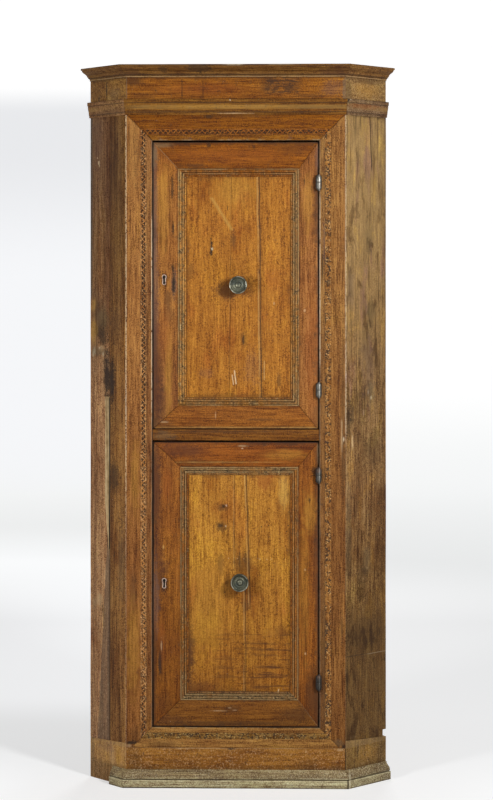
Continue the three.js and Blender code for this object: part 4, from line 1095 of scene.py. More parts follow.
class CUPBOARD_OT_doors(bpy.types.Operator):
    """Make the frames and panels of both doors"""

    bl_idname = "cupboard.doors"
    bl_label = "Doors"

    def execute(self, context):
        for number, door in enumerate(DOORS):
            outer, inner = door_rectangles(door)
            (x0, z0), (x1, z1) = outer
            (a0, c0), (a1, c1) = inner
            mitres = [((x0, z1), (a0, c1)), ((x1, z1), (a1, c1)), ((x0, z0), (a0, c0)), ((x1, z0), (a1, c0))]
            members = {
                "lock_stile": ("up", (0, 0, 1), (mitres[0], mitres[2])),
                "hinge_stile": ("up", (0, 0, 1), (mitres[1], mitres[3])),
                "top_rail": ("level", (1, 0, 0), (mitres[0], mitres[1])),
                "bottom_rail": ("level", (1, 0, 0), (mitres[2], mitres[3])),
            }
            for i, (part, (grain, direction, ends)) in enumerate(members.items()):
                node = f"{door}_{part}"
                seed = 20 + number * 10 + i * 2.3
                lines = [(pair, 0.0012, 0.3 if pair is mitres[2] else 0.5 - 0.25 * number, "dark")
                         for pair in ends]
                if number == 1 and mitres[0] in ends:
                    lines[0] = (mitres[0], 0.0010, 0.12, "dark")
                if number == 0 and mitres[0] in ends:
                    lines[0] = (mitres[0], 0.0015, 0.55, "pale")
                if number == 1 and mitres[3] in ends:
                    lines[1] = (mitres[3], 0.0012, 0.55, "pale")
                material = wood_for(node, Surface("front", grain), seed, lines=lines, rim=outer, inner=inner,
                                    fades=DOOR_FADES.get(node, ()))
                add_worn_board(node, material, direction, seed=seed)
        self.add_panels()
        return {"FINISHED"}

    def add_panels(self):
        scratch = (0.78, 0.60, 0.36)
        upper = panel_extra(
            seams=[(0.0715, -0.011, 0.0024, 0.95, 1.07, 1.72), (-0.018, 0.01, 0.0009, 0.3, 1.1, 1.7)],
            streaks=[(((-0.004, 1.152), (0.0, 1.12)), (1.118, 1.152), 0.0026, scratch, 0.85),
                     (((-0.010, 1.14), (-0.006, 1.11)), (1.116, 1.140), 0.0022, scratch, 0.7),
                     (((0.079, 1.18), (0.0785, 1.13)), (1.13, 1.178), 0.0024, (0.66, 0.45, 0.18), 0.5),
                     (((-0.0652, 1.629), (-0.0125, 1.546)), (1.545, 1.632), 0.0065,
                      (0.60, 0.36, 0.085), 0.5)],
            crossing=False)
        lower = panel_extra(
            seams=[(0.0395, -0.030, 0.0020, 0.95, 0.52, 0.87), (-0.0035, 0.0, 0.0012, 0.6, 0.62, 0.87),
                   (0.0262, 0.0, 0.0018, 0.8, 0.27, 0.55)],
            streaks=[(((0.1185, 0.268), (0.1095, 0.232)), (0.25, 0.268), 0.0020, scratch, 0.95)],
            crossing=True)
        sets = {
            "upper_door": (upper, 41.0, []),
            "lower_door": (lower, 47.5, [(0.25, 0.62, (0.76, 0.69, 0.66), "up")]),
        }
        for door, (extra, seed, fades) in sets.items():
            _, inner = door_rectangles(door)
            (a0, c0), (a1, c1) = inner
            rim = ((a0 + 0.021, c0 + 0.021), (a1 - 0.021, c1 - 0.021))
            material = wood_for(door + "_panel", Surface("front", "up"), seed, rim=rim, extra=extra,
                                contrast=0.84,
                                dirt=0.6, speckle=0.7, fades=fades, thread=0.12, glaze=1.2)
            add_worn_board(door + "_panel", material, (0, 0, 1), step=0.08, seed=seed, width=0.0005)


def panel_moulding(door):
    """A mitred ring with two beads, made as a square and drawn out to its panel"""
    (x0, z0), (x1, z1) = door_rectangles(door)[1]
    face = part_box(door + "_panel_moulding")[1].y + 0.0003
    profile = [(0.4, 0.4), (0.4, 8.2), (1.0, 8.8), (2.8, 8.8), (3.6, 7.2), *bead(7.6, 3.5, 3.4, 7.0),
               (11.7, 5.8),
               *bead(14.6, 2.4, 2.2, 5.8), (17.6, 3.6), (18.4, 3.6), (19.0, 4.0), (21.6, 3.8), (22.8, 3.0),
               (23.2, 0.4)]
    half = 0.05
    bm = bmesh.new()
    verts = []
    for inwards, rise in profile:
        out = half - inwards * MM
        verts.append(bm.verts.new((out, face - rise * MM, out)))
    edges = [bm.edges.new(pair) for pair in zip(verts, verts[1:] + verts[:1])]
    bmesh.ops.spin(bm, geom=verts + edges, cent=(0, 0, 0), axis=(0, 1, 0), angle=2 * math.pi,
                   steps=4, use_merge=True)
    bmesh.ops.remove_doubles(bm, verts=bm.verts, dist=0.00001)
    grow_x, grow_z = (x1 - x0) / 2 - half, (z1 - z0) / 2 - half
    for vert in bm.verts:
        vert.co.x += math.copysign(grow_x, vert.co.x)
        vert.co.z += math.copysign(grow_z, vert.co.z)
    bmesh.ops.translate(bm, verts=bm.verts, vec=((x0 + x1) / 2, 0, (z0 + z1) / 2))
    long_edges = [edge for edge in bm.edges if edge.calc_length() > 0.1]
    bmesh.ops.subdivide_edges(bm, edges=long_edges, cuts=64, use_grid_fill=True)
    noise.seed_set(NOISE_SEED)
    for vert in bm.verts:
        vert.co += noise.noise_vector(vert.co * 55) * 0.0005
        vert.co.y += max(0.0, noise.noise(vert.co * 110) - 0.15) * 0.0022
    bmesh.ops.recalc_face_normals(bm, faces=bm.faces)
    return bm


# Each side of a panel's moulding: how it differs in tone, and how much grey dust it holds
TRIM_SIDES = {
    "upper_door": {"left": ((1.75, 1.70, 1.42), 0.70), "right": ((1.50, 1.50, 1.5), 0.65),
                   "bottom": ((1.0, 0.95, 0.9), 0.35), "top": ((0.93, 0.66, 0.28), 0.20)},
    "lower_door": {"left": ((1.06, 0.84, 0.56), 0.45), "right": ((1.25, 1.0, 0.6), 0.20),
                   "bottom": ((0.85, 0.95, 1.3), 0.70), "top": ((1.05, 1.1, 1.3), 0.75)},
}


def trim_extra(door, inner):
    """Grime in the grooves of the moulding, a painted shadow in the gap at its outer edge, dust and crumbs on its
    beads, and pale bead tops that are rubbed and painted highlights as well
    """

    def extra(look, paint, sideways, up, mottle, cloud):
        (x0, z0), (x1, z1) = inner
        away = {"left": sideways - x0, "right": x1 - sideways, "bottom": up - z0, "top": z1 - up}
        into = away["left"].least(away["right"]).least(away["bottom"].least(away["top"]))
        dusty = None
        for side, (tint, dust) in TRIM_SIDES[door].items():
            here = (0.0004 - (away[side] - into)).step(0, 0.0004)
            paint.tint(tint, here)
            dusty = here * dust if dusty is None else dusty.most(here * dust)
        place = into + (mottle - 0.5) * 0.0024
        crumbs = look.noise(look.place, 205, 3, 0.8)
        lumps = look.noise(look.place, 70, 3, 0.62)
        dusty = dusty * (lumps * 0.6 + cloud * 0.5).step(0.42, 0.60)
        paint.coat((0.29, 0.20, 0.085), dusty * between(place, 0.0028, 0.0176, 0.001) * 0.75)
        paint.coat((0.58, 0.42, 0.20), (crumbs - (lumps - 0.5) * 0.4).step(0.41, 0.32) * (dusty * 0.8 + 0.25))
        paint.grime_and_shade((crumbs + (lumps - 0.5) * 0.5).step(0.53, 0.61) * (dusty * 0.7 + 0.4), 1.2)
        # Painted highlight on the tops of the beads, which are rubbed there as well
        rubbed_and_lit_crest = stripe(place, 0.0021, 0.0016).most(stripe(place, 0.0146, 0.0014) * 0.6)
        paint.coat((0.52, 0.36, 0.16), rubbed_and_lit_crest * (cloud + mottle * 0.4).step(0.55, 0.78) * 0.8)
        # The stripe at the ring's outer edge is a painted shadow of the gap; the others are dirt in the grooves and at
        # the panel
        grooves = stripe(place, 0.0, 0.0014).most(
            stripe(place, 0.0038, 0.0011)).most(stripe(place, 0.0116, 0.0018))
        grooves = grooves.most(stripe(place, 0.0179, 0.0013)).most((into - 0.0222).step(0, 0.0008))
        grooves = grooves * (lumps * 0.5 + 0.5 * cloud).step(0.30, 0.52)
        paint.grime_and_shade(grooves * 0.6, 0.8)
        paint.cut(crumbs * 0.7)
        paint.cut(grooves * 0.4)

    return extra


class CUPBOARD_OT_panel_mouldings(bpy.types.Operator):
    """Make the beaded mouldings round the panels"""

    bl_idname = "cupboard.panel_mouldings"
    bl_label = "Panel Mouldings"

    def execute(self, context):
        for i, door in enumerate(DOORS):
            inner = door_rectangles(door)[1]
            node = door + "_panel_moulding"
            material = wood_for(node, Surface("front", "up"), 51.0 + i * 3, extra=trim_extra(door, inner),
                                rough=0.6, contrast=0.9)
            add_piece("beaded_" + node, panel_moulding(door), BODY_OF[node], material, (node,),
                      angle=40)
        return {"FINISHED"}


# The body


class CUPBOARD_OT_sides(bpy.types.Operator):
    """Make the canted sides and the plinth"""

    bl_idname = "cupboard.sides"
    bl_label = "Sides and Plinth"

    def execute(self, context):
        boards = {
            "left_cant_front_plank": ("left", "up", 61.0, self.left_front),
            "left_cant_rear_plank": ("left", "up", 64.0, self.left_rear),
            "right_cant_board": ("right", "up", 67.0, self.right_side),
            "plinth_left": ("left", "up", 71.0, self.plinth_shade),
            "plinth_right": ("right", "up", 73.0, self.plinth_shade),
            "plinth_front": ("front", "level", 76.0, self.plinth_shade),
        }
        for node, (face, grain, seed, extra) in boards.items():
            fades = [(1.5, 1.05, (0.66, 0.70, 0.78), "up")] if node.startswith("left_cant") else []
            if node == "left_cant_rear_plank":
                fades.append((1.25, 1.05, (0.80, 0.80, 0.80), "up"))
            corner = {"left": (1.06, 0.5, 0.2), "right": (1.03, 0.93, 0.12)}.get(face)
            material = wood_for(node, Surface(face, grain), seed, extra=extra, fades=fades,
                                arris=None if "rear" in node else corner,
                                contrast=1.25 if "cant" in node else 0.8, rough=0.6, speckle=1.5)
            direction = (0, 0, 1) if grain == "up" else ALONG[face]
            add_worn_board(node, material, direction, seed=seed, warp=0.0007 if "cant" in node else None,
                           shape=None if face == "front" else self.moved_joint(face))
        return {"FINISHED"}

    @staticmethod
    def moved_joint(face):
        """The joint above a side plinth has moved a little from where it was made"""
        def shape(bm):
            for vert in bm.verts:
                share = (abs(vert.co.x) - BODY_HALF) / CANT_RUN
                level = JOINT[0] + (JOINT[1] - JOINT[0]) * share
                if abs(vert.co.z - level) < 0.0012:
                    first, last = WORN_JOINTS[face]
                    vert.co.z += first + (last - first) * share - level
                elif abs(vert.co.z - CHIP_TOP[0]) < 0.0002:
                    vert.co.z = CHIP_TOP[1]
        return shape

    @staticmethod
    def left_front(look, paint, sideways, up, mottle, cloud):
        """The front plank of the left side: bands of wear, and its dark open seam"""
        open_part = between(up, 0.655, 1.072, 0.01)
        seam = (sideways - 0.0665).step(0, 0.005) * (mottle + 0.2).step(0.4, 0.7) * (1.2 - up).step(0, 0.2)
        paint.grime_and_shade(seam * 0.75)
        paint.grime_and_shade((sideways - 0.0695).step(0, 0.0010) * open_part * 0.97, 0.25)
        bands = look.over(sideways * 55, up * 1.6, 3, 0.6)
        paint.tint((0.58, 0.54, 0.52), bands.step(0.53, 0.64) * 0.7)
        paint.tint((1.22, 1.20, 1.0), bands.step(0.46, 0.36) * 0.7)
        middle = (sideways - 0.030).step(0, 0.04) * (up - 1.1).step(0, 0.1)
        paint.tint((0.72, 0.62, 0.62), middle * 0.8)
        paint.tint((1.10, 1.0, 0.72), (0.03 - sideways).step(0, 0.02) * (up - 1.1).step(0, 0.1) * 0.7)

    @staticmethod
    def left_rear(look, paint, sideways, up, mottle, cloud):
        """The rear plank: bands, a shadow at the foot, and the long split with its bare wood"""
        bands = look.over(sideways * 55 + 9, up * 1.6, 3, 0.6)
        paint.tint((0.60, 0.55, 0.55), bands.step(0.53, 0.64) * 0.7)
        paint.tint((1.16, 1.10, 1.12), bands.step(0.46, 0.36) * 0.7)
        upper = (up - 1.16).step(0, 0.12)
        paint.tint((0.95, 0.86, 0.74), upper)
        hollow = (0.100 - sideways + (mottle - 0.5) * 0.02).step(0, 0.02) * upper
        paint.tint((0.68, 0.60, 0.58), hollow)
        worn_edge = (sideways - 0.148 + (mottle - 0.5) * 0.014).step(0, 0.006) * (up - 1.34).step(0, 0.03)
        paint.coat((0.10, 0.085, 0.07), worn_edge * 0.7)
        # Dark grey below the split, widening towards the floor
        shadow = 0.0998 + (0.49 - up) * 0.078 + (mottle - 0.5) * 0.012
        shadow = ((bands * 0.8 + 0.55).clamped() * (shadow - sideways).step(0, 0.004)
                  * (0.74 - up).step(0, 0.12))
        paint.coat((0.112, 0.072, 0.048), shadow * 0.72)
        flecks = look.over(sideways * 240, up * 120, 3, 0.7).step(0.56, 0.64)
        flecks = flecks * (0.16 - sideways).step(0, 0.004) * between(up, 0.12, 0.60, 0.06)
        paint.coat((0.46, 0.33, 0.20), flecks * 0.55)
        reach = 0.0735 + 0.0205 * ((up - 0.618) / 0.165).clamped() + (mottle - 0.5) * 0.004
        split = (reach - sideways).step(0, 0.0012) * between(up, 0.60, 1.0755, 0.004)
        fibres = look.over(sideways * 300, up * 9, 4, 0.7) + (mottle - 0.5) * 0.6
        bare = look.ramp(fibres, [(0.28, (0.24, 0.145, 0.06)), (0.46, (0.46, 0.31, 0.15)),
                                  (0.60, (0.62, 0.45, 0.24)), (0.8, (0.82, 0.66, 0.42))])
        paint.coat(bare, split)
        edge = (0.0762 - sideways).step(0, 0.0012) * between(up, 0.655, 1.072, 0.01)
        faint = (0.0775 - sideways).step(0, 0.003) * (1.2 - up).step(0, 0.2)
        paint.grime_and_shade(edge.most(faint * 0.5) * 0.95, 0.4)
        paint.cut(split * 0.5)

    @staticmethod
    def right_side(look, paint, sideways, up, mottle, cloud):
        """The right side: bleached above, dark below, blotched, with its crack and joint"""
        bleached = (up - 0.85 + (cloud - 0.5) * 1.0).step(0, 0.9)
        paint.coat((0.50, 0.33, 0.13), bleached * 0.45)
        dark = (0.65 - up + (cloud - 0.5) * 0.5).step(0, 0.28)
        paint.coat((0.10, 0.052, 0.020), dark * 0.5)
        # Blotches, streaks and a violet cast in places
        stains = look.over(sideways * 24 + 4, up * 9, 4, 0.66, 0.4)
        calm = 1 - (up - 1.45).step(0, 0.3).most(between(up, 0.62, 0.98, 0.08) * 0.9) * 0.5
        paint.tint((0.48, 0.43, 0.40), stains.step(0.52, 0.62) * calm)
        paint.tint((1.22, 1.20, 0.98), stains.step(0.46, 0.36))
        violet = look.over(sideways * 18 + 1, up * 5, 3, 0.6)
        paint.tint((0.92, 0.84, 1.22), violet.step(0.54, 0.66) * (up - 0.8).step(0, 0.4) * 0.9)
        paint.tint((0.86, 0.84, 0.70), (0.80 - up + (cloud - 0.5) * 0.5).step(0, 0.3))
        streaks = look.over(sideways * 130, up * 5, 5, 0.68)
        plain = (up - 0.7).step(0, 0.5) * 0.6 + 0.4
        paint.tint((0.46, 0.40, 0.36), streaks.step(0.54, 0.64) * plain * 0.9)
        paint.tint((1.30, 1.28, 1.12), streaks.step(0.45, 0.35) * plain * 0.8)
        edges = (sideways - 0.150 + (mottle - 0.5) * 0.02).step(0, 0.010)
        paint.coat((0.12, 0.075, 0.04), edges * (up - 1.2).step(0, 0.2) * 0.55)
        wavy = look.noise(look.vector(0.0, 3.0, up * 14), 1, 3) * 0.006
        line = sideways - wavy - (1.90 - up) * 0.05
        crack = stripe(line, 0.0905, 0.0034) * between(up, 1.725, 1.88, 0.02)
        crack = crack.most(stripe(line, 0.0985, 0.0018) * between(up, 1.765, 1.90, 0.02) * 0.6)
        level = up - 0.3604 + (mottle - 0.5) * 0.003
        joint = stripe(level, 0.0, 0.0018) * (cloud + 0.3).step(0.5, 0.75) * (0.10 - sideways).step(0, 0.03)
        lit = stripe(level, -0.0010, 0.0016) * (sideways - 0.075).step(0, 0.02)
        drips = look.over(sideways * 70, up * 5, 2).step(0.5, 0.7) * (up - 1.76).step(0, 0.09)
        drips = drips.most((up - 1.853 + (mottle - 0.5) * 0.03).step(0, 0.012))
        paint.grime_and_shade(drips * 0.7)
        paint.grime_and_shade(crack.most(joint * 0.7) * 0.95)
        paint.coat((0.40, 0.30, 0.18), lit * 0.7)
        paint.cut((crack + joint) * 1.5)

    @staticmethod
    def plinth_shade(look, paint, sideways, up, mottle, cloud):
        """The plinth: dirt at the foot, specks, and a dark line at its corner"""
        foot = (0.062 - up + (mottle - 0.5) * 0.02).step(0, 0.016)
        paint.grime_and_shade(foot * 0.45)
        specks = look.noise(look.place, 260, 3, 0.75)
        paint.coat((0.55, 0.36, 0.18), specks.step(0.55, 0.63) * (cloud + 0.1).step(0.42, 0.65) * 0.6)
        paint.grime_and_shade(specks.step(0.45, 0.38) * 0.5, 1.6)
        side = stripe(abs(look.x - BODY_HALF + 0.0008), 0.0, 0.0022) * (0.108 - look.z).step(0, 0.002)
        paint.grime_and_shade(side * 0.95, 0.4)
        top = (up - 0.106 + (mottle - 0.5) * 0.003).step(0, 0.002)
        paint.coat((0.30, 0.2, 0.1), top * 0.3)


class CUPBOARD_OT_cornice(bpy.types.Operator):
    """Make the frieze and the mouldings above and below it"""

    bl_idname = "cupboard.cornice"
    bl_label = "Cornice"

    def execute(self, context):
        for i, (face, direction) in enumerate(ALONG.items()):
            surface = Surface(face, "level")
            crown = wood_for("crown_" + face, surface, 81.0 + i, extra=self.crown_lines, rough=0.55)
            add_worn_board("crown_" + face, crown, direction, seed=81.0 + i, step=0.03)
            cornice = wood_for("cornice_" + face, surface, 85.0 + i, extra=self.cornice_lines, rough=0.55)
            add_worn_board("cornice_" + face, cornice, direction, seed=85.0 + i, step=0.03)
            frieze = wood_for("frieze_" + face, surface, 89.0 + i, extra=self.frieze_shade(face), speckle=1.5)
            add_worn_board("frieze_" + face, frieze, direction, seed=89.0 + i)
        return {"FINISHED"}

    @staticmethod
    def crown_lines(look, paint, sideways, up, mottle, cloud):
        """The upper moulding: combed, with dark quirks and a painted highlight along the bead below them"""
        combed(look, paint, sideways, up, 0.75)
        jitter = (mottle - 0.5) * 0.0014
        low = stripe(up + jitter, 1.9736, 0.0022)
        high = stripe(up + jitter, 1.9990, 0.0018)
        paint.grime_and_shade(low.most(high * 0.8) * 0.85)
        # Painted highlight along the bead below the lower quirk
        light = stripe(up + jitter, 1.9690, 0.0016) * (mottle + 0.1).step(0.4, 0.6)
        paint.coat((0.46, 0.33, 0.17), light * 0.7)

    @staticmethod
    def cornice_lines(look, paint, sideways, up, mottle, cloud):
        """The lower moulding: combed, with dark quirks and a pale middle, worn and a painted highlight too"""
        combed(look, paint, sideways, up, 0.75, 260)
        jitter = (mottle - 0.5) * 0.0016
        low = stripe(up + jitter, 1.8702, 0.0020)
        high = stripe(up + jitter, 1.8952, 0.0018)
        paint.grime_and_shade(low.most(high) * 0.8)
        # A pale band in the middle of the profile: wear, and a painted highlight
        light = between(up, 1.880, 1.888, 0.003) * (cloud + mottle * 0.3).step(0.5, 0.8)
        paint.coat((0.36, 0.225, 0.07), light * 0.4)

    @staticmethod
    def frieze_shade(face):
        def extra(look, paint, sideways, up, mottle, cloud):
            head = (up - 1.958 + (mottle - 0.5) * 0.012).step(0, 0.01)
            foot = (1.911 - up + (mottle - 0.5) * 0.012).step(0, 0.008)
            paint.grime_and_shade(head.most(foot) * 0.5)
            if face == "front":
                fibres = look.over(sideways * 45, up * 170, 4, 0.68, 0.3)
                reach = 0.058 - abs(sideways - 0.128) + (mottle - 0.5) * 0.03
                stain = reach.step(0, 0.02) * between(up, 1.926, 1.966, 0.010)
                paint.grime_and_shade(fibres.step(0.42, 0.58) * stain * 0.8, 1.1)
                paint.coat((0.30, 0.20, 0.11), fibres.step(0.40, 0.32) * stain * 0.5)
                corner = stripe(abs(look.x), BODY_HALF - 0.001, 0.0022)
                paint.coat((0.24, 0.165, 0.10), corner * (mottle + 0.1).step(0.42, 0.6) * 0.7)
        return extra


class CUPBOARD_OT_base(bpy.types.Operator):
    """Make the moulding at the floor"""

    bl_idname = "cupboard.base"
    bl_label = "Base Moulding"

    def execute(self, context):
        for i, (face, direction) in enumerate(ALONG.items()):
            node = "base_moulding_" + face
            material = wood_for(node, Surface(face, "level"), 93.0 + i, extra=self.lines,
                                rough=0.68, speckle=1.3, glaze=0.5, thread=0.15)
            add_worn_board(node, material, direction, seed=93.0 + i, step=0.03, warp=0.0006)
        return {"FINISHED"}

    @staticmethod
    def lines(look, paint, sideways, up, mottle, cloud):
        """Brown and rubbed above the groove, and pale paint, chipped in places, below it, with a painted shadow at the
        foot by the floor and painted highlights along edges of the profile and next to the right corner
        """
        jitter = (mottle - 0.5) * 0.0016
        upper = (up - 0.0262 + jitter).step(0, 0.002)
        paint.tint((1.30, 1.34, 1.36), 1.0)
        paint.tint((0.66, 0.58, 0.52), upper)
        combed(look, paint, sideways, up, 1.0, 330)
        crumbs = look.noise(look.place, 300, 3, 0.78)
        paint.coat((0.70, 0.62, 0.43), (crumbs - (cloud - 0.5) * 0.4).step(0.43, 0.35) * 0.65)
        paint.coat((0.12, 0.075, 0.032), (crumbs + (cloud - 0.5) * 0.5).step(0.55, 0.63) * 0.75)
        groove = stripe(up + jitter, 0.0238, 0.0021)
        top = (up - 0.0545 + jitter).step(0, 0.002)
        # Painted shadow: a dark line along the foot where it meets the floor
        foot = (0.0042 - up).step(0, 0.0020) * ((-0.03 - sideways).step(0, 0.02) * 0.4 + 0.6)
        paint.grime_and_shade(groove.most(foot).most(top * 0.7) * 0.92)
        # Painted highlights: pale lines along edges of the profile, the upper one at the right only
        lip_highlight = stripe(up + jitter, 0.0210, 0.0014)
        lip_highlight = lip_highlight.most(stripe(up + jitter, 0.0272, 0.0016) * (sideways - 0.17).step(0, 0.04))
        paint.coat((0.80, 0.72, 0.45), lip_highlight * (mottle + 0.05).step(0.4, 0.55) * 0.7)
        corner = look.x - (BODY_HALF + 0.006) + (mottle - 0.5) * 0.002
        mitre = (stripe(corner, 0.0, 0.0030) * (FRONT + 0.004 - look.y).step(0, 0.004)
                 * (0.028 - up).step(0, 0.006))
        # Painted highlight next to the right corner
        corner_highlight = stripe(corner, 0.0055, 0.0035) * (FRONT + 0.008 - look.y).step(0, 0.004)
        paint.coat((0.80, 0.72, 0.50), corner_highlight * (mottle + 0.05).step(0.42, 0.55) * 0.6)
        paint.grime_and_shade(mitre, 0.4)


class CUPBOARD_OT_inside(bpy.types.Operator):
    """Finish the boards inside, the top and the planks against the walls"""

    bl_idname = "cupboard.inside"
    bl_label = "Inside and Back"

    def execute(self, context):
        for i, node in enumerate(("top_board", "bottom_board", "middle_board", "upper_shelf", "lower_shelf")):
            dress_node(node, raw_wood(node + "_wood", 101.0 + i * 3, Surface("level", "level")))
        planks = {"left_back_plank_front": "left_wall", "left_back_plank_rear": "left_wall",
                  "right_back_plank_rear": "right_wall", "right_back_plank_front": "right_wall"}
        for i, (node, face) in enumerate(planks.items()):
            material = raw_wood(node + "_wood", 121.0 + i * 4, Surface(face, "up"))
            add_worn_board(node, material, (0, 0, 1), step=0.12, seed=121.0 + i * 4)
        return {"FINISHED"}


# The fittings


def brass_finish(name, tint, face_y):
    settings = bpy.context.scene.corner_cupboard.metal
    look = Look(name)
    mottle = look.noise(look.place, 160, 4, 0.65)
    film = look.noise(look.place, 60, 3, 0.6)
    colour = look.mix(shade(tuple(settings.brass), tint), tuple(settings.tarnish),
                      film.step(0.42, 0.66) * 0.8)
    hollow = (look.y - face_y + (mottle - 0.5) * 0.002).step(0.003, 0.0085)
    colour = look.mix(colour, tuple(settings.tarnish), hollow * 0.75)
    specks = look.noise(look.place, 700, 2, 0.7)
    colour = look.mix(colour, (0.40, 0.37, 0.26), specks.step(0.62, 0.7) * 0.5)
    edge = (face_y + 0.0012 + (mottle - 0.5) * 0.002 - look.y).step(-0.0006, 0.0006)
    colour = look.mix(colour, shade((0.34, 0.34, 0.28), tint), edge * film.step(0.62, 0.42) * 0.7)
    roughness = 0.26 + mottle * 0.3 + hollow * 0.15
    metallic = 0.95 - film.step(0.45, 0.7) * 0.55
    return look.finish(colour, roughness, mottle * 0.6 + specks * 0.4, depth=0.00025,
                       metallic=metallic, specular=0.5)


def iron_finish(name, tint, axis=None):
    """Old iron. Round a barrel's axis, (x, y), painted shade makes it black at its sides, towards the wood,
    and on its left, and a pale stripe right of the axis is a painted highlight.
    """
    settings = bpy.context.scene.corner_cupboard.metal
    look = Look(name)
    mottle = look.noise(look.place, 120, 4, 0.7)
    rust = look.noise(look.place, 45, 3, 0.6).step(0.52, 0.68)
    colour = look.mix(shade(tuple(settings.iron), tint), (0.035, 0.028, 0.022), mottle.step(0.45, 0.7) * 0.85)
    colour = look.mix(colour, (0.13, 0.05, 0.02), rust * 0.55)
    metallic = 0.8 - rust * 0.6
    if axis is not None:
        radius = BARREL_RADIUS
        # Painted shade: black at the barrel's sides, where it turns towards the wood, and on its left
        behind = (look.y - axis[1] + radius * 0.72 + (mottle - 0.5) * 0.004).step(0, radius * 0.4)
        left = (axis[0] - radius * 0.15 - look.x + (mottle - 0.5) * 0.006).step(0, radius * 0.5) * 0.7
        painted_barrel_shade = behind.most(left)
        colour = look.mix(colour, (0.012, 0.009, 0.008), painted_barrel_shade * 0.95)
        metallic = metallic * (1 - painted_barrel_shade)
        # Painted highlight: a pale stripe down the barrel right of its axis
        pale = stripe(look.x + (mottle - 0.5) * 0.004, axis[0] + radius * 0.25, radius * 0.22)
        colour = look.mix(colour, (0.62, 0.60, 0.55), pale * (0.75 * min(1.0, tint)))
    roughness = 0.34 + mottle * 0.3 + rust * 0.2
    return look.finish(colour, roughness, mottle, depth=0.0004, metallic=metallic, specular=0.4)


# A knob's outline in millimetres, as radius and height from the panel's face: the spindle and its nut,
# the neck and the hollow of the face, which are alike, and the button at the centre of each
KNOB = [(0, -16.8), (6.8, -16.8), (8.0, -15.6), (8.0, -12.3), (3.5, -12.3), (3.5, 0.3), (12.5, 0.3),
        (13.0, 1.2), (12.0, 2.6), (8.5, 3.6), (7.0, 5.2), (6.6, 12.0), (7.4, 18.0), (10.0, 24.0), (15.0, 29.0),
        (21.5, 31.8), (24.2, 33.0), (25.0, 34.8), (24.9, 38.5), (24.3, 40.8), (23.2, 41.8), (21.9, 41.4), (21.0, 39.8),
        (19.6, 37.6), (18.2, 36.2), (17.2, 35.7), (14.0, 35.5), (12.8, 36.2), (11.8, 36.6), (10.8, 36.0)]
KNOB_BUTTONS = {
    "upper_door": [(8.8, 35.8), (7.6, 37.8), (6.0, 39.0), (4.4, 38.6), (3.0, 37.2), (0, 36.6)],
    "lower_door": [(9.0, 35.8), (8.0, 37.6), (6.0, 39.6), (3.5, 40.4), (1.2, 40.2), (0, 39.6)],
}
DOT_RING, DOT_RADIUS = 0.0156, 0.00135
BARREL_RADIUS = 0.0085
HINGE_TINTS = (0.72, 0.52, 0.28, 0.13)  # the four hinges from the top: the lower, the less light they catch


class CUPBOARD_OT_knobs(bpy.types.Operator):
    """Turn the two knobs"""

    bl_idname = "cupboard.knobs"
    bl_label = "Knobs"

    def execute(self, context):
        sizes = context.scene.corner_cupboard.sizes
        for door in DOORS:
            node = door + "_knob"
            low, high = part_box(node)
            centre = Vector(((low.x + high.x) / 2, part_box(door + "_panel")[0].y, (low.z + high.z) / 2))
            profile = [(radius * MM, height * MM) for radius, height in KNOB + KNOB_BUTTONS[door]]
            bm = turned(profile, centre, "Y", sizes.knob_sides)
            self.add_dots(bm, centre, sizes.knob_dots, 0.0358 if door == "upper_door" else 0.0362)
            material = brass_finish(node + "_brass", 1.0 if door == "upper_door" else 0.8, low.y)
            add_piece("turned_" + node, bm, BODY_OF[node], material, (node,), angle=35)
        return {"FINISHED"}

    def add_dots(self, bm, centre, count, height):
        for i in range(count):
            angle = 2 * math.pi * i / count
            place = centre + Vector((math.cos(angle) * DOT_RING, -height, math.sin(angle) * DOT_RING))
            bmesh.ops.create_icosphere(bm, subdivisions=2, radius=DOT_RADIUS,
                                       matrix=Matrix.Translation(place))


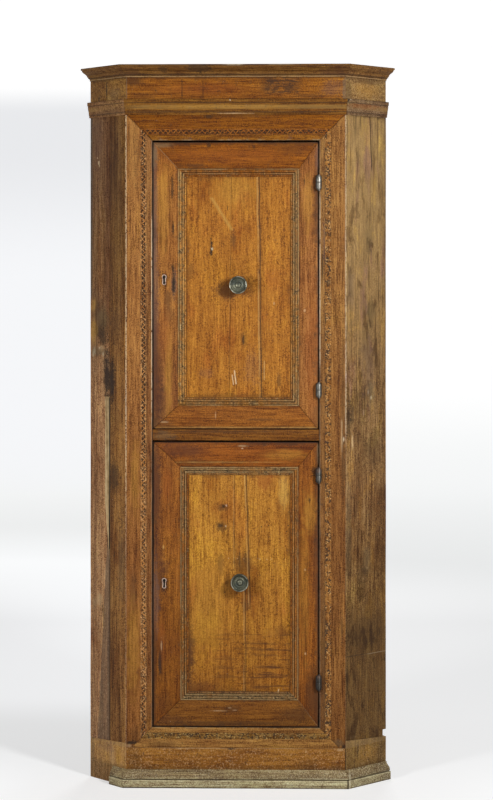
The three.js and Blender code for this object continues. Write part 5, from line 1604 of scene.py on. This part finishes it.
class CUPBOARD_OT_hinges(bpy.types.Operator):
    """Turn the olive barrels of the four hinges"""

    bl_idname = "cupboard.hinges"
    bl_label = "Hinges"

    def execute(self, context):
        for number, (door, where) in enumerate((d, w) for d in DOORS for w in ("top", "bottom")):
            stem = f"{door}_{where}_hinge"
            low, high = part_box(stem + "_door_half")
            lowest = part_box(stem + "_frame_half")[0].z
            centre = Vector((low.x + BARREL_RADIUS, low.y + BARREL_RADIUS, (high.z + lowest) / 2))
            half = high.z - centre.z
            for part, up in (("door_half", 1), ("frame_half", -1)):
                node = f"{stem}_{part}"
                bm = turned(self.barrel(half, up), centre, "Z", 40)
                self.add_leaf(bm, node, centre)
                finish = iron_finish(node + "_iron", HINGE_TINTS[number], (centre.x, centre.y))
                add_piece("olive_" + node, bm, BODY_OF[node], finish, (node,), angle=38)
        return {"FINISHED"}

    def barrel(self, half, up):
        """One half of an olive: straight at the middle, drawn in to a small round tip"""
        shares = ((1, 0.5), (0.985, 0.6), (0.93, 0.7), (0.82, 0.79), (0.63, 0.875), (0.42, 0.925),
                  (0.36, 0.945), (0.38, 0.965), (0.28, 0.99), (0, 1))
        outer = [(BARREL_RADIUS * 0.93, 0.0002), (BARREL_RADIUS * 0.985, 0.0010), (BARREL_RADIUS, 0.0030)]
        outer += [(BARREL_RADIUS * across, half * along) for across, along in shares]
        if up > 0:
            bore = [(0.0, 0.0174), (0.0036, 0.0174), (0.0036, 0.0002)]
            return bore + outer
        pin = [(0.0032, 0.0002), (0.0032, -0.0165), (0.0027, -0.0170), (0.0, -0.0170)]
        return [(r, -z) for r, z in pin[::-1] + outer]

    def add_leaf(self, bm, node, centre):
        """The leaf that goes into the edge of the wood"""
        leaf = node_copy(node)
        far = [vert.co for vert in leaf.verts if vert.co.y > centre.y + 0.009]
        low = Vector([min(co[i] for co in far) for i in range(3)])
        high = Vector([max(co[i] for co in far) for i in range(3)])
        leaf.free()
        low.y = centre.y + 0.0050
        size, middle = high - low, (high + low) / 2
        matrix = Matrix.Translation(middle) @ Matrix.Diagonal((*size, 1))
        made = bmesh.ops.create_cube(bm, size=1, matrix=matrix)
        edges = list({edge for vert in made["verts"] for edge in vert.link_edges})
        bmesh.ops.bevel(bm, geom=edges, offset=0.0003, affect="EDGES", segments=1, profile=0.5, material=-1)


class CUPBOARD_OT_locks(bpy.types.Operator):
    """Finish the keyholes, the lock cases and the bolts"""

    bl_idname = "cupboard.locks"
    bl_label = "Locks"

    def execute(self, context):
        for door in DOORS:
            node = door + "_keyhole_liner"
            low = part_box(node)[0]
            look = Look(node + "_brass")
            mottle = look.noise(look.place, 200, 4, 0.7)
            colour = look.mix((0.58, 0.42, 0.32), (0.16, 0.06, 0.04), mottle.step(0.50, 0.62) * 0.85)
            # Painted shade: the hole in the liner is painted near black deeper in
            inside = (look.y - low.y - 0.0007).step(0, 0.0008)
            colour = look.mix(colour, (0.010, 0.004, 0.003), inside)
            material = look.finish(colour, 0.45 + mottle * 0.2, mottle, depth=0.0003, specular=0.3)
            bm = node_copy(node)
            round_edges(bm, 0.0004, angle=50, segments=2)
            add_piece("worn_" + node, bm, BODY_OF[node], material, (node,))
            for part in ("lock_case", "lock_bolt"):
                dress_node(f"{door}_{part}", iron_finish(f"{door}_{part}_iron", 0.35))
        return {"FINISHED"}


# The stage


class CUPBOARD_OT_stage(bpy.types.Operator):
    """Set up the floor, the backdrop, the lamps and the camera"""

    bl_idname = "cupboard.stage"
    bl_label = "Stage"

    def execute(self, context):
        settings = context.scene.corner_cupboard.stage
        self.add_floor(settings)
        self.add_lamp("right_lamp", (1.72, FRONT - 2.28, 1.94), settings.right_lamp, settings.lamp_size)
        self.add_lamp("left_lamp", (-1.85, FRONT - 2.16, 1.45), settings.left_lamp, settings.lamp_size)
        self.add_lamp("back_lamp", (0.3, 3.4, 2.5), settings.back_lamp, 3 * settings.lamp_size)
        self.add_world(settings)
        self.add_camera(context)
        context.scene.view_settings.view_transform = "Standard"
        return {"FINISHED"}

    def add_floor(self, settings):
        """A floor that sweeps up into a backdrop"""
        width, sweep, back = settings.floor, settings.sweep, WALL_DISTANCE
        bm = bmesh.new()
        points = [(-back - 2, 0.0), (back - sweep, 0.0)]
        for i in range(1, 13):
            angle = math.pi / 2 * i / 12
            points.append((back - sweep + sweep * math.sin(angle), sweep - sweep * math.cos(angle)))
        points.append((back, WALL_HEIGHT))
        verts = [bm.verts.new((-width / 2, y, z)) for y, z in points]
        edges = [bm.edges.new(pair) for pair in zip(verts, verts[1:])]
        made = bmesh.ops.extrude_edge_only(bm, edges=edges)
        moved = [item for item in made["geom"] if isinstance(item, bmesh.types.BMVert)]
        bmesh.ops.translate(bm, verts=moved, vec=(width, 0, 0))
        bmesh.ops.recalc_face_normals(bm, faces=bm.faces)
        if sum(face.normal.z for face in bm.faces) < 0:
            bmesh.ops.reverse_faces(bm, faces=bm.faces)
        for face in bm.faces:
            face.smooth = True
        mesh = bpy.data.meshes.new("studio_floor")
        bm.to_mesh(mesh)
        bm.free()
        mesh.materials.append(self.floor_finish())
        floor = bpy.data.objects.new("studio_floor", mesh)
        bpy.context.scene.collection.objects.link(floor)

    def floor_finish(self):
        """White to the camera, to metal and to glass, though with painted shade in that light, and plain pale
        to everything else
        """
        look = Look("studio_white")
        pale = look.node("ShaderNodeBsdfDiffuse", {}, {"Color": (0.62, 0.62, 0.62)})
        left = (0.4 - look.x).step(0, 0.8)
        # Painted shade in the light the camera sees: darker on the floor round the cupboard, darker high on the wall
        # at the left, and lighter at the sides in front and at the left behind the cupboard
        tone = look.ramp((look.y + 6) * 0.06, [
            (0.19, (0.95, 0.95, 0.95)), (0.23, (0.80, 0.80, 0.80)), (0.28, (0.47, 0.47, 0.47)),
            (0.33, (0.46, 0.46, 0.46)), (0.366, (0.48, 0.485, 0.49)), (0.40, (0.50, 0.505, 0.51)),
            (0.51, (0.46, 0.465, 0.47)), (0.62, (0.71, 0.72, 0.72)), (0.82, (0.82, 0.83, 0.83))])
        tone = look.mix(tone, (0.92, 0.92, 0.92), (look.z - 0.1).step(0, 0.8))
        high = look.mix((0.81, 0.82, 0.84), (0.70, 0.71, 0.73), (look.z - 1.4).step(0, 1.0))
        tone = look.mix(tone, high, left * (2.85 - look.z).step(0, 0.25) * (look.y - 7.5).step(0, 0.9))
        middle = left * (look.y - 0.5).step(0, 0.5) * (6.0 - look.y).step(0, 2.0)
        tone = look.mix(tone, (1.20, 1.20, 1.21), middle, "MULTIPLY")
        side = (abs(look.x) - 0.45).step(0, 0.5) * (0.2 - look.y).step(0, 0.5)
        tone = look.mix(tone, (1.27, 1.29, 1.31),
                        side * (left * 0.6 + 0.4) * (look.y + 1.5).step(0, 0.5), "MULTIPLY")
        tone = look.mix(tone, (0.97, 0.97, 0.97), (abs(look.x) - 2.8).step(0, 2.0))
        glow_with_painted_shade = look.node("ShaderNodeEmission", {}, {"Color": tone, "Strength": 1.0})
        both = look.node("ShaderNodeAddShader", {}, {0: pale.outputs[0], 1: glow_with_painted_shade.outputs[0]})
        shaders = {0: look.white_in_view(), 1: pale.outputs[0], 2: both.outputs[0]}
        mixed = look.node("ShaderNodeMixShader", {}, shaders)
        look.node("ShaderNodeOutputMaterial", {}, {0: mixed.outputs[0]})
        return look.material

    def add_lamp(self, name, place, power, size):
        lamp = bpy.data.lights.new(name, "AREA")
        lamp.energy = power
        lamp.shape = "SQUARE"
        lamp.size = size
        item = bpy.data.objects.new(name, lamp)
        item.location = place
        item.visible_camera = False
        aim = Vector((0, 0, 1.15)) - Vector(place)
        item.rotation_euler = aim.to_track_quat("-Z", "Y").to_euler()
        bpy.context.scene.collection.objects.link(item)

    def add_world(self, settings):
        world = bpy.data.worlds.new("studio")
        look = Look("studio", world)
        dim = look.node("ShaderNodeBackground", {}, {"Color": (1, 1, 1), "Strength": settings.sky})
        white = look.node("ShaderNodeBackground", {}, {"Color": (1, 1, 1), "Strength": 1.0})
        shaders = {0: look.white_in_view(), 1: dim.outputs[0], 2: white.outputs[0]}
        mixed = look.node("ShaderNodeMixShader", {}, shaders)
        look.node("ShaderNodeOutputWorld", {}, {0: mixed.outputs[0]})
        bpy.context.scene.world = world

    def add_camera(self, context):
        """The photograph's camera, fitted to the cupboard's corners"""
        camera = bpy.data.cameras.new("camera")
        item = bpy.data.objects.new("camera", camera)
        item.location = (0.3154, FRONT - 5.6105, 1.3898)
        item.rotation_euler = (math.pi / 2, 0, 0.0219)
        focal, centre, width, height = 2026.9, (305.2, 285.4), 493, 800  # the photograph's, in pixels
        camera.sensor_width = 36
        camera.lens = focal * camera.sensor_width / height
        camera.shift_x = (width / 2 - centre[0]) / height
        camera.shift_y = (centre[1] - height / 2) / height
        context.scene.collection.objects.link(item)
        context.scene.camera = item


# The add-on's own parts


class CupboardSettings(bpy.types.PropertyGroup):
    """Everything that can be set on the cupboard"""

    wood: PointerProperty(type=CupboardWood)
    metal: PointerProperty(type=CupboardMetal)
    sizes: PointerProperty(type=CupboardSizes)
    stage: PointerProperty(type=CupboardStage)


OPERATORS = (
    CUPBOARD_OT_stage,
    CUPBOARD_OT_door_frame,
    CUPBOARD_OT_doors,
    CUPBOARD_OT_panel_mouldings,
    CUPBOARD_OT_sides,
    CUPBOARD_OT_cornice,
    CUPBOARD_OT_base,
    CUPBOARD_OT_inside,
    CUPBOARD_OT_knobs,
    CUPBOARD_OT_hinges,
    CUPBOARD_OT_locks,
)


class CUPBOARD_PT_panel(bpy.types.Panel):
    """The cupboard's settings and the steps that make it"""

    bl_idname = "CUPBOARD_PT_panel"
    bl_label = "Corner Cupboard"
    bl_space_type = "VIEW_3D"
    bl_region_type = "UI"
    bl_category = "Cupboard"

    def draw(self, context):
        settings = context.scene.corner_cupboard
        for group in (settings.wood, settings.metal, settings.sizes, settings.stage):
            box = self.layout.box()
            box.label(text=type(group).__name__.removeprefix("Cupboard"))
            for key in group.bl_rna.properties.keys():
                if key not in ("rna_type", "name"):
                    box.prop(group, key)
        for operator in OPERATORS:
            self.layout.operator(operator.bl_idname)


CLASSES = (CupboardWood, CupboardMetal, CupboardSizes, CupboardStage, CupboardSettings,
           *OPERATORS, CUPBOARD_PT_panel)


def register():
    for cls in CLASSES:
        bpy.utils.register_class(cls)
    bpy.types.Scene.corner_cupboard = PointerProperty(type=CupboardSettings)


def unregister():
    del bpy.types.Scene.corner_cupboard
    for cls in reversed(CLASSES):
        bpy.utils.unregister_class(cls)


def main():
    register()
    for operator in OPERATORS:
        group, name = operator.bl_idname.split(".")
        getattr(getattr(bpy.ops, group), name)()
    bpy.context.view_layer.update()


if __name__ == "__main__":
    main()
